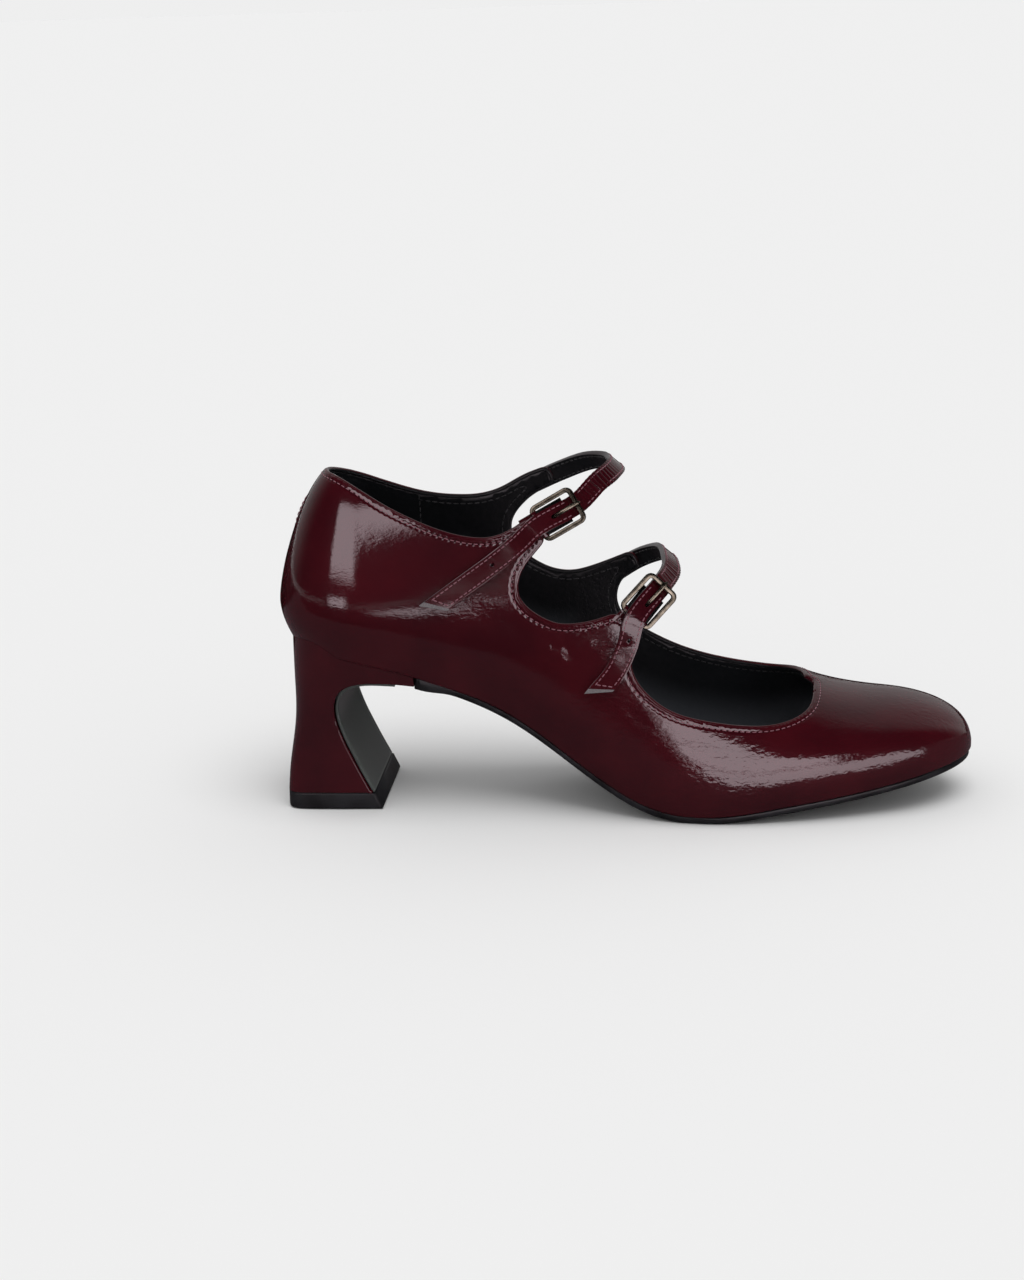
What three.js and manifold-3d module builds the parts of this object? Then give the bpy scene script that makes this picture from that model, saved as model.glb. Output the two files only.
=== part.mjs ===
// Double-strap mary jane pump, right shoe, on a flared block heel.
//
// Units are millimetres and +Z is up. The ground is z = 0 and +X points to the toe. The origin
// is the centre of the heel's ground face. +Y is the inner (medial) side of the foot, and the
// straps buckle on the outer (lateral) side, -Y. Stations are measured along the shoe from just
// inside the back of the heel's ground face, so x = station - HEEL_CENTRE.
//
// The upper, insole, outsole and straps all follow one surface, the outside of the lasted shoe.

import * as THREE from 'three';
import { mergeVertices } from 'three/addons/utils/BufferGeometryUtils.js';
import Module from 'manifold-3d';

const wasm = await Module();
wasm.setup();

// ---- driving dimensions ----

const GAP = 0.3;                  // clearance between pieces that meet
const BACK = -2.9;                // rearmost station of the heel cup
const TIP = 246;                  // station of the toe tip
const HEEL_AXIS = 30;             // station that the heel cup is rounded about
const TOE_START = 214;            // station where the toe starts to round off
const HEEL_PLAN = 2.15;           // superellipse power of the heel cup in plan
const TOE_PLAN = 2.3;             // superellipse power of the toe in plan
const TOE_RISE = 2.4;             // superellipse power of the toe from the side

const WALL = 2.0;                 // upper leather and lining together
const SOLE = 2.5;                 // outsole thickness
const SOLE_START = 47.5;          // station where the outsole meets the heel's lip
const SOLE_INSET = 0.7;           // outsole edge inside the upper's lower edge
const INSOLE = 2.2;               // insole thickness

const TOP_PIECE = 6;              // height of the heel's rubber top piece
const TOP_PIECE_BACK = -1.3;      // stations of the ends of its ground face
const TOP_PIECE_FRONT = 34.4;
const HEEL_CENTRE = (TOP_PIECE_BACK + TOP_PIECE_FRONT) / 2;
const PANEL = 1.0;                // heel breast panel thickness
const PANEL_INSET = 1.2;          // breast panel edge inside the heel's side

const STRAP_WIDTH = 7.2;
const STRAP_THICKNESS = 1.8;
const STRAP_LIFT = 1.3;           // middle of a strap above the surface that it lies on
const TAIL_SKEW = 7.0;            // how far the slanted tail end runs past square

const BAR = 1.8;                  // buckle bar, square section
const BUCKLE_LENGTH = 16.8;       // outside, along the strap
const BUCKLE_WIDTH = 13.8;        // outside, across the strap
const BUCKLE_CORNER = 2.6;
const PRONG = 0.8;                // prong radius

// Sections of the lasted shoe. lateral and medial are half-widths at the widest level, foot is
// the feather edge's share of them, feather the height of the upper's lower edge, bulge the
// height of the widest level above that, ridge the top of the section, crown its superellipse
// power and swing the shift of the centreline towards the inner side.
const SECTIONS = [
  { station: BACK, lateral: 31.0, medial: 31.0, foot: 0.85, feather: 59.6, bulge: 15.0, ridge: 130.0, crown: 1.70, swing: 0.0 },
  { station: 30.0, lateral: 31.0, medial: 31.0, foot: 0.83, feather: 55.4, bulge: 18.0, ridge: 130.0, crown: 1.70, swing: 0.0 },
  { station: 55.0, lateral: 29.5, medial: 28.5, foot: 0.80, feather: 47.6, bulge: 22.0, ridge: 134.0, crown: 1.90, swing: 0.0 },
  { station: 80.0, lateral: 29.0, medial: 27.5, foot: 0.80, feather: 37.0, bulge: 26.0, ridge: 142.0, crown: 2.10, swing: 0.0 },
  { station: 105., lateral: 31.5, medial: 29.5, foot: 0.84, feather: 19.6, bulge: 25.0, ridge: 137.0, crown: 2.10, swing: 0.0 },
  { station: 130., lateral: 36.5, medial: 35.0, foot: 0.90, feather: 5.2, bulge: 18.0, ridge: 100.0, crown: 2.10, swing: 0.0 },
  { station: 148., lateral: 39.2, medial: 38.3, foot: 0.94, feather: 2.5, bulge: 12.5, ridge: 74.0, crown: 2.10, swing: 0.5 },
  { station: 178., lateral: 38.7, medial: 37.2, foot: 0.95, feather: 6.0, bulge: 10.0, ridge: 47.0, crown: 2.15, swing: 1.5 },
  { station: 203., lateral: 34.4, medial: 32.4, foot: 0.95, feather: 9.6, bulge: 9.0, ridge: 38.2, crown: 2.20, swing: 2.5 },
  { station: 225., lateral: 28.5, medial: 27.0, foot: 0.95, feather: 13.4, bulge: 8.0, ridge: 36.0, crown: 2.20, swing: 3.2 },
  { station: TIP, lateral: 24.0, medial: 23.0, foot: 0.96, feather: 17.4, bulge: 7.0, ridge: 35.5, crown: 2.20, swing: 3.6 },
];

// Topline of the outer side, seen square from the side, from the back of the collar to the
// throat. Each stretch is one smooth line, and the straight cuts between them end the tabs.
const LATERAL_TOPLINE = {
  collar: [
    { station: 8, height: 122.3 }, { station: 14, height: 122.2 }, { station: 24, height: 120.4 },
    { station: 42, height: 111.0 }, { station: 59.5, height: 103.9 }, { station: 73, height: 101.4 },
    { station: 82, height: 103.4 }, { station: 90.6, height: 109.0 },
  ],
  cutout: [
    { station: 96.2, height: 100.7 }, { station: 87.2, height: 89.2 }, { station: 87.2, height: 79.4 },
    { station: 97.8, height: 72.1 }, { station: 109, height: 72.2 }, { station: 119.8, height: 75.4 },
  ],
  throat: [
    { station: 129.6, height: 70.2 }, { station: 125.2, height: 61 }, { station: 127.6, height: 51 },
    { station: 138.4, height: 41.7 }, { station: 154.3, height: 37.2 }, { station: 172.6, height: 35.4 },
    { station: 186.5, height: 38.3 }, { station: 190.3, height: 44.5 },
  ],
};

// The same for the inner side, where the straps are sewn to the tabs' outside.
const MEDIAL_TOPLINE = {
  collar: [
    { station: 8, height: 122.3 }, { station: 14, height: 122.2 }, { station: 20, height: 118.9 },
    { station: 44.9, height: 109.2 }, { station: 62.5, height: 106.8 }, { station: 74, height: 108.6 },
    { station: 84.9, height: 114.4 }, { station: 93.8, height: 117.9 },
  ],
  cutout: [
    { station: 96.6, height: 111.5 }, { station: 86, height: 104.9 }, { station: 79.6, height: 96 },
    { station: 81.5, height: 86.5 }, { station: 90.9, height: 79 }, { station: 101, height: 76.7 },
    { station: 112.3, height: 79.8 }, { station: 123.8, height: 84.9 },
  ],
  throat: [
    { station: 127.4, height: 78.7 }, { station: 119.5, height: 72.5 }, { station: 117.7, height: 63.5 },
    { station: 122.5, height: 56.5 }, { station: 138.6, height: 46.9 }, { station: 156, height: 41.4 },
    { station: 176, height: 40.0 }, { station: 190.3, height: 44.5 },
  ],
};

// Straps, from the tip of the tail on the outer side over the instep to the inner tab. turn goes
// round the section: 0 at the outer feather edge, 1 at the ridge, 2 at the inner feather edge.
// lift is the height of the strap's middle above the surface, and level how far it is turned
// to face up. A buckle's bars stand between tail and arch: rear is the place of its rear bar,
// and ahead a point that its length runs towards.
const STRAPS = {
  upper: {
    tail: [
      { station: 56.4, turn: 0.366, lift: STRAP_LIFT, level: 0 },
      { station: 66.0, turn: 0.424, lift: STRAP_LIFT, level: 0 },
      { station: 77.3, turn: 0.480, lift: STRAP_LIFT, level: 0 },
      { station: 86.0, turn: 0.526, lift: 1.9, level: 0 },
    ],
    rear: { station: 93.8, turn: 0.575, lift: 1.2 },
    ahead: { station: 106, turn: 0.656, lift: 3.6 },
    arch: [
      { station: 112.8, turn: 0.775, lift: 1.6, level: 0.20 },
      { station: 116.4, turn: 0.885, lift: 1.9, level: 0.40 },
      { station: 117.6, turn: 1.000, lift: 1.9, level: 0.45 },
      { station: 115.6, turn: 1.130, lift: 1.6, level: 0.35 },
      { station: 108.0, turn: 1.275, lift: 0.9, level: 0.15 },
      { station: 98.0, turn: 1.362, lift: STRAP_LIFT, level: 0 },
      { station: 85.5, turn: 1.418, lift: STRAP_LIFT, level: 0 },
    ],
  },
  lower: {
    tail: [
      { station: 114.0, turn: 0.340, lift: STRAP_LIFT, level: 0 },
      { station: 119.8, turn: 0.413, lift: STRAP_LIFT, level: 0 },
      { station: 123.6, turn: 0.480, lift: 1.9, level: 0 },
    ],
    rear: { station: 126.0, turn: 0.555, lift: 1.4 },
    ahead: { station: 132.7, turn: 0.680, lift: 5.0 },
    arch: [
      { station: 138.0, turn: 0.870, lift: 0.8, level: 0.30 },
      { station: 138.2, turn: 1.000, lift: -0.2, level: 0.45 },
      { station: 136.4, turn: 1.140, lift: -0.1, level: 0.35 },
      { station: 132.0, turn: 1.295, lift: 0.4, level: 0.15 },
      { station: 125.0, turn: 1.410, lift: STRAP_LIFT, level: 0 },
      { station: 115.5, turn: 1.508, lift: STRAP_LIFT, level: 0 },
    ],
  },
};

// Heel block from the side: levels of its plan outline. back is the station of its back edge,
// half its half-width, plan the superellipse power of its rounded back.
const HEEL_LEVELS = [
  { height: TOP_PIECE + GAP, back: -1.2, half: 22.8, plan: 8.0 },
  { height: 14, back: -0.6, half: 22.5, plan: 7.0 },
  { height: 30, back: 1.4, half: 22.7, plan: 4.0 },
  { height: 46, back: 1.5, half: 24.2, plan: 2.8 },
  { height: 64, back: 1.2, half: 25.6, plan: 2.2 },
];

// Breast of the heel from the side, from the top piece up and forward under the lip.
const BREAST = [
  { station: 31.6, height: TOP_PIECE + GAP }, { station: 26.8, height: 16 }, { station: 21.6, height: 28 },
  { station: 19.4, height: 37 }, { station: 21.4, height: 43.6 }, { station: 28, height: 46.2 },
  { station: 38, height: 46.2 }, { station: SOLE_START - GAP, height: 45.2 },
];

// Parts of the mesh grids.
const STATIONS = 52;
const LEVELS = 16;

// ---- colours and finishes ----

const finish = (color, roughness, metalness) =>
  new THREE.MeshStandardMaterial({ color, roughness, metalness });
const PATENT = finish(0x3a0c18, 0.12, 0.0);
const LEATHER_BLACK = finish(0x1b1c1f, 0.5, 0.0);
const RUBBER_BLACK = finish(0x1d1d1f, 0.7, 0.0);
const PANEL_GREY = finish(0x454a47, 0.4, 0.0);
const GUNMETAL = finish(0x5a564a, 0.3, 1.0);

// ---- curves ----

// Natural cubic spline through the rows of a table, as a function of the key column.
function splineColumn(rows, key, column) {
  const last = rows.length - 1;
  const bend = new Array(rows.length).fill(0);
  const share = new Array(rows.length).fill(0);
  for (let i = 1; i < last; i++) {
    const before = rows[i][key] - rows[i - 1][key];
    const after = rows[i + 1][key] - rows[i][key];
    const slopeBefore = (rows[i][column] - rows[i - 1][column]) / before;
    const slopeAfter = (rows[i + 1][column] - rows[i][column]) / after;
    const pivot = 2 * (before + after) - before * share[i - 1];
    share[i] = after / pivot;
    bend[i] = (6 * (slopeAfter - slopeBefore) - before * bend[i - 1]) / pivot;
  }
  for (let i = last - 1; i > 0; i--) bend[i] -= share[i] * bend[i + 1];
  return (at) => {
    let i = 0;
    while (i < last - 1 && at > rows[i + 1][key]) i++;
    const step = rows[i + 1][key] - rows[i][key];
    const b = (at - rows[i][key]) / step;
    const a = 1 - b;
    const straight = a * rows[i][column] + b * rows[i + 1][column];
    return straight + ((a ** 3 - a) * bend[i] + (b ** 3 - b) * bend[i + 1]) * step ** 2 / 6;
  };
}

const UP = new THREE.Vector3(0, 0, 1);

const lateralHalf = splineColumn(SECTIONS, 'station', 'lateral');
const medialHalf = splineColumn(SECTIONS, 'station', 'medial');
const footShare = splineColumn(SECTIONS, 'station', 'foot');
const featherHeight = splineColumn(SECTIONS, 'station', 'feather');
const bulgeHeight = splineColumn(SECTIONS, 'station', 'bulge');
const ridgeHeight = splineColumn(SECTIONS, 'station', 'ridge');
const crownPower = splineColumn(SECTIONS, 'station', 'crown');
const swingShift = splineColumn(SECTIONS, 'station', 'swing');

const roundOff = (part, power) => (1 - part ** power) ** (1 / power);

// Smooth step with no curvature jump at either end.
function ease(part) {
  const t = Math.min(Math.max(part, 0), 1);
  return t ** 3 * (t * (6 * t - 15) + 10);
}

// Point of the lasted surface. side is -1 lateral or +1 medial, level runs from 0 at the
// feather edge to 1 at the ridge, and inset moves the surface inwards.
function lastPoint(station, side, level, inset = 0) {
  const body = Math.max(station, HEEL_AXIS);
  const width = (side < 0 ? lateralHalf(body) : medialHalf(body)) - inset;
  const power = crownPower(body);
  const heel = Math.min(Math.max((HEEL_AXIS - station) / (HEEL_AXIS - BACK - inset), 0), 1);
  const toe = Math.min(Math.max((station - TOE_START) / (TIP - inset - TOE_START), 0), 1);
  const foot = Math.acos(footShare(station) ** (power / 2));
  const angle = level * (Math.PI / 2 + foot) - foot;
  const reach = Math.max(Math.cos(angle), 0) ** (2 / power);
  const rise = (turn) => Math.sign(turn) * Math.abs(Math.sin(turn)) ** (2 / power);

  const feather = featherHeight(station);
  const bulge = bulgeHeight(station);
  const low = bulge / Math.abs(rise(-foot));
  const high = ridgeHeight(body) - inset - feather - bulge;
  const stretch = low + (high - low) * ease((angle + foot) / (foot + Math.PI / 3));
  const height = bulge + stretch * rise(angle);
  return new THREE.Vector3(
    station < HEEL_AXIS ? HEEL_AXIS - (HEEL_AXIS - station) * reach : station,
    swingShift(station) + side * width * roundOff(heel, HEEL_PLAN) * roundOff(toe, TOE_PLAN) * reach,
    feather + roundOff(toe, TOE_RISE) * height,
  );
}

// Point at a turn round the section, raised off the surface along its outward normal.
function turnPoint(station, turn) {
  return turn <= 1 ? lastPoint(station, -1, turn) : lastPoint(station, 1, 2 - turn);
}

function turnNormal(station, turn) {
  const nudge = 0.01;
  const along = turnPoint(station + 1, turn).sub(turnPoint(station - 1, turn));
  const around = turnPoint(station, turn + nudge).sub(turnPoint(station, turn - nudge));
  return around.cross(along).negate().normalize();
}

function raised({ station, turn, lift }) {
  return turnPoint(station, turn).addScaledVector(turnNormal(station, turn), lift);
}

// ---- meshes and solids ----

function geometryFrom(points, triangles) {
  const geometry = new THREE.BufferGeometry();
  geometry.setAttribute('position', new THREE.Float32BufferAttribute(points.flatMap((p) => p.toArray()), 3));
  geometry.setIndex(triangles.flat());
  return geometry;
}

// Closed geometry to a manifold solid, with shared corners merged and empty triangles dropped.
function solid(geometry) {
  const bare = geometry.clone();
  bare.deleteAttribute('normal');
  bare.deleteAttribute('uv');
  const merged = mergeVertices(bare, 1e-4);
  const index = merged.index.array;
  const kept = [];
  for (let i = 0; i < index.length; i += 3) {
    const [a, b, c] = index.slice(i, i + 3);
    if (a !== b && b !== c && c !== a) kept.push(a, b, c);
  }
  return new wasm.Manifold(new wasm.Mesh({
    numProp: 3,
    vertProperties: new Float32Array(merged.attributes.position.array),
    triVerts: new Uint32Array(kept),
  }));
}

function geometryOf(manifold) {
  const mesh = manifold.getMesh();
  const geometry = new THREE.BufferGeometry();
  geometry.setAttribute('position', new THREE.BufferAttribute(mesh.vertProperties, 3));
  geometry.setIndex(new THREE.BufferAttribute(mesh.triVerts, 1));
  return geometry;
}

// Quads of a rows x columns grid of points, as triangles.
function gridTriangles(rows, columns, start, flipped) {
  const triangles = [];
  for (let i = 0; i < rows - 1; i++) {
    for (let j = 0; j < columns - 1; j++) {
      const a = start + i * columns + j;
      const b = a + columns;
      const quad = [[a, b, b + 1], [a, b + 1, a + 1]];
      triangles.push(...(flipped ? quad.map(([p, q, r]) => [p, r, q]) : quad));
    }
  }
  return triangles;
}

// Stations closer together towards both ends, where the shoe rounds off.
function spacedStations(from, to, count) {
  return Array.from({ length: count }, (_, i) =>
    from + (to - from) * (1 - Math.cos(Math.PI * i / (count - 1))) / 2);
}

// The whole last as a closed solid, inset by a wall and carried down below the feather edge.
function lastSolid(inset, drop) {
  const stations = spacedStations(BACK + inset, TIP - inset, STATIONS);
  const columns = LEVELS + (drop > 0 ? 1 : 0);
  const points = [];
  for (const side of [-1, 1]) {
    for (const station of stations) {
      if (drop > 0) points.push(lastPoint(station, side, 0, inset).setZ(featherHeight(station) - drop));
      for (let j = 0; j < LEVELS; j++) points.push(lastPoint(station, side, j / (LEVELS - 1), inset));
    }
  }
  const half = stations.length * columns;
  const triangles = [
    ...gridTriangles(stations.length, columns, 0, false),
    ...gridTriangles(stations.length, columns, half, true),
  ];
  for (let i = 0; i < stations.length - 1; i++) {
    const a = i * columns;
    const b = a + columns;
    triangles.push([a, a + half, b + half], [a, b + half, b]);
  }
  return solid(geometryFrom(points, triangles));
}

// Side outline of {station, height} points pushed through from one y to another.
function sidePrism(outline, from, to) {
  const shape = new THREE.Shape(outline.map((p) => new THREE.Vector2(p.x, p.y)));
  const prism = new THREE.ExtrudeGeometry(shape, { depth: to - from, bevelEnabled: false });
  return solid(prism.rotateX(Math.PI / 2).translate(0, to, 0));
}

const flat = (row) => new THREE.Vector2(row.station, row.height);
const smoothLine = (rows, pieces) => new THREE.SplineCurve(rows.map(flat)).getPoints(pieces);

// ---- upper: one wall, open at the collar, the side cut-outs, the throat and underneath ----

function openingPrism(topline, from, to) {
  const above = 200;
  return sidePrism([
    new THREE.Vector2(BACK - 10, above),
    new THREE.Vector2(BACK - 10, topline.collar[0].height),
    ...smoothLine(topline.collar, 24),
    ...smoothLine(topline.cutout, 22),
    ...smoothLine(topline.throat, 28),
    new THREE.Vector2(topline.throat.at(-1).station, above),
  ], from, to);
}

function upperSolid() {
  const reach = 60;
  return lastSolid(0, 0)
    .subtract(lastSolid(WALL, 6))
    .subtract(openingPrism(LATERAL_TOPLINE, -reach, 0))
    .subtract(openingPrism(MEDIAL_TOPLINE, 0, reach));
}

// ---- insole and outsole: sheets that follow the feather edge ----

// A sheet between two heights, with edge(station, side) giving its outline.
function sheetSolid(stations, edge, lower, upper) {
  const across = [-1, -0.5, 0, 0.5, 1];
  const points = [];
  for (const level of [lower, upper]) {
    for (const station of stations) {
      const left = edge(station, -1);
      const right = edge(station, 1);
      for (const part of across) {
        const point = left.clone().lerp(right, (part + 1) / 2);
        points.push(point.setZ(level(station)));
      }
    }
  }
  const rows = stations.length;
  const columns = across.length;
  const half = rows * columns;
  const triangles = [
    ...gridTriangles(rows, columns, 0, true),
    ...gridTriangles(rows, columns, half, false),
  ];
  const rim = [
    ...Array.from({ length: rows }, (_, i) => i * columns),
    ...Array.from({ length: columns - 1 }, (_, j) => (rows - 1) * columns + j + 1),
    ...Array.from({ length: rows - 1 }, (_, i) => (rows - 2 - i) * columns + columns - 1),
    ...Array.from({ length: columns - 2 }, (_, j) => columns - 2 - j),
  ];
  rim.forEach((a, i) => {
    const b = rim[(i + 1) % rim.length];
    triangles.push([a, b, b + half], [a, b + half, a + half]);
  });
  return solid(geometryFrom(points, triangles));
}

function insoleSolid() {
  const inset = WALL + GAP;
  const edge = (station, side) => lastPoint(station, side, 0, inset);
  const stations = spacedStations(BACK + inset + 0.2, TIP - inset - 0.2, 44);
  return sheetSolid(stations, edge, featherHeight, (station) => featherHeight(station) + INSOLE);
}

// The outsole's underside is flat on the ground under the ball of the foot.
function outsoleSolid() {
  const edge = (station, side) => {
    const tuck = 1.6 * ease((85 - station) / 35);
    return lastPoint(station, side, 0, SOLE_INSET + tuck);
  };
  const top = (station) => Math.max(featherHeight(station) - GAP, SOLE);
  const toe = TIP - SOLE_INSET - 0.2;
  const stations = Array.from({ length: 42 }, (_, i) =>
    SOLE_START + (toe - SOLE_START) * Math.sin(Math.PI / 2 * i / 41));
  return sheetSolid(stations, edge, (station) => top(station) - SOLE, top);
}

// ---- heel: block, breast panel and top piece ----

const breastLine = (forward) => {
  const line = smoothLine(BREAST, 26);
  return line.map((point, i) => {
    const before = line[Math.max(i - 1, 0)];
    const after = line[Math.min(i + 1, line.length - 1)];
    const run = after.clone().sub(before).normalize();
    const height = Math.max(point.y - run.x * forward, TOP_PIECE + GAP);
    return new THREE.Vector2(point.x + run.y * forward, height);
  });
};

// Plan outline of the heel at a level: a superelliptic back and straight sides.
function heelOutline({ back, half, plan }, front) {
  const axis = 20;
  const rounds = 12;
  const outline = [];
  for (let i = -rounds; i <= rounds; i++) {
    const angle = (Math.PI / 2) * (i / rounds);
    const reach = Math.cos(angle) ** (2 / plan);
    const side = Math.sign(i) * Math.abs(Math.sin(angle)) ** (2 / plan);
    outline.push(new THREE.Vector2(axis - (axis - back) * reach, half * side));
  }
  outline.push(new THREE.Vector2(front, half - 1), new THREE.Vector2(front, 1 - half));
  return outline;
}

// Stack of equal-length outlines, closed at the bottom and top.
function stackSolid(outlines, heights) {
  const count = outlines[0].length;
  const points = outlines.flatMap((outline, k) =>
    outline.map((p) => new THREE.Vector3(p.x, p.y, heights[k])));
  const triangles = [];
  for (let k = 0; k < outlines.length - 1; k++) {
    for (let i = 0; i < count; i++) {
      const a = k * count + i;
      const b = k * count + (i + 1) % count;
      triangles.push([a, b + count, b], [a, a + count, b + count]);
    }
  }
  const top = (outlines.length - 1) * count;
  for (let i = 1; i < count - 1; i++) triangles.push([0, i, i + 1], [top, top + i + 1, top + i]);
  return solid(geometryFrom(points, triangles));
}

const heelBlank = () => stackSolid(
  HEEL_LEVELS.map((level) => heelOutline(level, SOLE_START + 2)),
  HEEL_LEVELS.map((level) => level.height),
);

const seatLine = () => spacedStations(BACK - 2, SOLE_START - GAP, 14).map((station) =>
  new THREE.Vector2(station, featherHeight(Math.max(station, BACK)) - GAP));

function heelSolid() {
  const profile = [
    new THREE.Vector2(BACK - 2, TOP_PIECE + GAP),
    ...breastLine(-(PANEL + GAP)),
    ...seatLine().reverse(),
  ];
  return heelBlank().intersect(sidePrism(profile, -40, 40));
}

// The panel stops short of the lip's end, where the heel thins out.
function breastPanelSolid() {
  const outer = breastLine(0).slice(0, -3);
  const inner = breastLine(-PANEL).slice(0, -3);
  const half = HEEL_LEVELS[2].half - PANEL_INSET;
  return sidePrism([...outer, ...inner.reverse()], -half, half);
}

function topPieceSolid() {
  const bottom = { back: TOP_PIECE_BACK, half: HEEL_LEVELS[0].half + 0.2, plan: HEEL_LEVELS[0].plan };
  const outlines = [bottom, HEEL_LEVELS[0]].map((level) => heelOutline(level, TOP_PIECE_FRONT + 3));
  const front = sidePrism([
    new THREE.Vector2(BACK - 2, -1), new THREE.Vector2(TOP_PIECE_FRONT + 0.4, -1),
    new THREE.Vector2(31.7, TOP_PIECE), new THREE.Vector2(31.7, TOP_PIECE + 1),
    new THREE.Vector2(BACK - 2, TOP_PIECE + 1),
  ], -40, 40);
  return stackSolid(outlines, [0, TOP_PIECE]).intersect(front);
}

// ---- buckles and straps ----

// Place of a buckle: origin on the middle of its rear bar, x along the strap, y across it and
// z away from the foot.
function buckleFrame({ rear, ahead }) {
  const origin = raised(rear);
  const along = raised(ahead).sub(origin).normalize();
  const middle = { station: (rear.station + ahead.station) / 2, turn: (rear.turn + ahead.turn) / 2 };
  const away = turnNormal(middle.station, middle.turn);
  away.addScaledVector(along, -away.dot(along)).normalize();
  const across = away.clone().cross(along);
  return new THREE.Matrix4().makeBasis(along, across, away).setPosition(origin);
}

const BAR_SPACING = BUCKLE_LENGTH - BAR;
const THREADED = BAR / 2 + 3.5 * GAP + STRAP_THICKNESS / 2;   // strap middle to bar middle

function roundedRectangle(path, left, bottom, right, top, radius) {
  path.moveTo(left + radius, bottom);
  path.lineTo(right - radius, bottom);
  path.absarc(right - radius, bottom + radius, radius, -Math.PI / 2, 0);
  path.lineTo(right, top - radius);
  path.absarc(right - radius, top - radius, radius, 0, Math.PI / 2);
  path.lineTo(left + radius, top);
  path.absarc(left + radius, top - radius, radius, Math.PI / 2, Math.PI);
  path.lineTo(left, bottom + radius);
  path.absarc(left + radius, bottom + radius, radius, Math.PI, Math.PI * 1.5);
  return path;
}

function buckleGeometry() {
  const half = BUCKLE_WIDTH / 2;
  const frame = roundedRectangle(
    new THREE.Shape(), -BAR / 2, -half, BUCKLE_LENGTH - BAR / 2, half, BUCKLE_CORNER);
  frame.holes.push(roundedRectangle(
    new THREE.Path(), BAR / 2, BAR - half, BUCKLE_LENGTH - BAR * 1.5, half - BAR, BUCKLE_CORNER - BAR + 0.4));
  const geometry = new THREE.ExtrudeGeometry(frame, { depth: BAR, bevelEnabled: false, curveSegments: 5 });
  return geometry.translate(0, 0, -BAR / 2);
}

// The prong starts at the rear bar, comes up through the strap and rests on the front bar.
const PRONG_START = BAR / 2 + GAP + PRONG;
const prongPath = () => [
  { along: PRONG_START, away: -0.4 }, { along: 4.6, away: 0.2 }, { along: 8.6, away: 2.1 },
  { along: BAR_SPACING, away: BAR / 2 + GAP + PRONG }, { along: BAR_SPACING + 1.6, away: 1.7 },
];
const PRONG_SLOT = { from: 1.4, to: 9.8, width: 2.4 };

function prongGeometry() {
  const route = new THREE.CatmullRomCurve3(prongPath().map((p) => new THREE.Vector3(p.along, 0, p.away)));
  const section = new THREE.Shape();
  section.absarc(0, 0, PRONG, 0, Math.PI * 2);
  return new THREE.ExtrudeGeometry(section, {
    steps: 14, extrudePath: route, bevelEnabled: false, curveSegments: 4,
  });
}

// Ribbon through points with outward directions, square in section, its start cut on a slant.
function ribbonSolid(beads, steps, skew) {
  const route = new THREE.CatmullRomCurve3(beads.map((bead) => bead.at), false, 'centripetal');
  const outward = new THREE.CatmullRomCurve3(beads.map((bead) => bead.out), false, 'centripetal');
  const points = [];
  for (let i = 0; i <= steps; i++) {
    const t = i / steps;
    const at = route.getPoint(t);
    const run = route.getTangent(t);
    const out = outward.getPoint(t);
    out.addScaledVector(run, -out.dot(run)).normalize();
    const across = out.clone().cross(run);
    const slant = skew * Math.max(1 - i / 2, 0);
    for (const [w, h] of [[-1, -1], [1, -1], [1, 1], [-1, 1]]) {
      points.push(at.clone()
        .addScaledVector(across, w * STRAP_WIDTH / 2)
        .addScaledVector(out, h * STRAP_THICKNESS / 2)
        .addScaledVector(run, -w * slant / 2));
    }
  }
  const triangles = [[0, 1, 2], [0, 2, 3]].map(([a, b, c]) => [a, c, b]);
  for (let i = 0; i < steps; i++) {
    for (let j = 0; j < 4; j++) {
      const a = i * 4 + j;
      const b = i * 4 + (j + 1) % 4;
      triangles.push([a, b, b + 4], [a, b + 4, a + 4]);
    }
  }
  const end = steps * 4;
  triangles.push([end, end + 1, end + 2], [end, end + 2, end + 3]);
  return solid(geometryFrom(points, triangles));
}

function strapSolid(strap) {
  const place = buckleFrame(strap);
  const out = new THREE.Vector3().setFromMatrixColumn(place, 2);
  const onBar = (along, away) => ({
    at: new THREE.Vector3(along, 0, away).applyMatrix4(place), out: out.clone(),
  });
  const onLast = (row) => ({
    at: raised(row), out: turnNormal(row.station, row.turn).addScaledVector(UP, row.level),
  });
  const beads = [
    ...strap.tail.map(onLast),
    onBar(0, THREADED),
    onBar(BAR_SPACING, -THREADED),
    ...strap.arch.map(onLast),
  ];
  const slot = new THREE.BoxGeometry(PRONG_SLOT.to - PRONG_SLOT.from, PRONG_SLOT.width, 12);
  slot.translate((PRONG_SLOT.from + PRONG_SLOT.to) / 2, 0, 0).applyMatrix4(place);
  return ribbonSolid(beads, 52, TAIL_SKEW).subtract(solid(slot));
}

// ---- assembly ----

const shoe = new THREE.Group();
shoe.position.x = -HEEL_CENTRE;

function add(name, geometry, material) {
  const mesh = new THREE.Mesh(geometry, material);
  mesh.name = name;
  shoe.add(mesh);
  return mesh;
}

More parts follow.
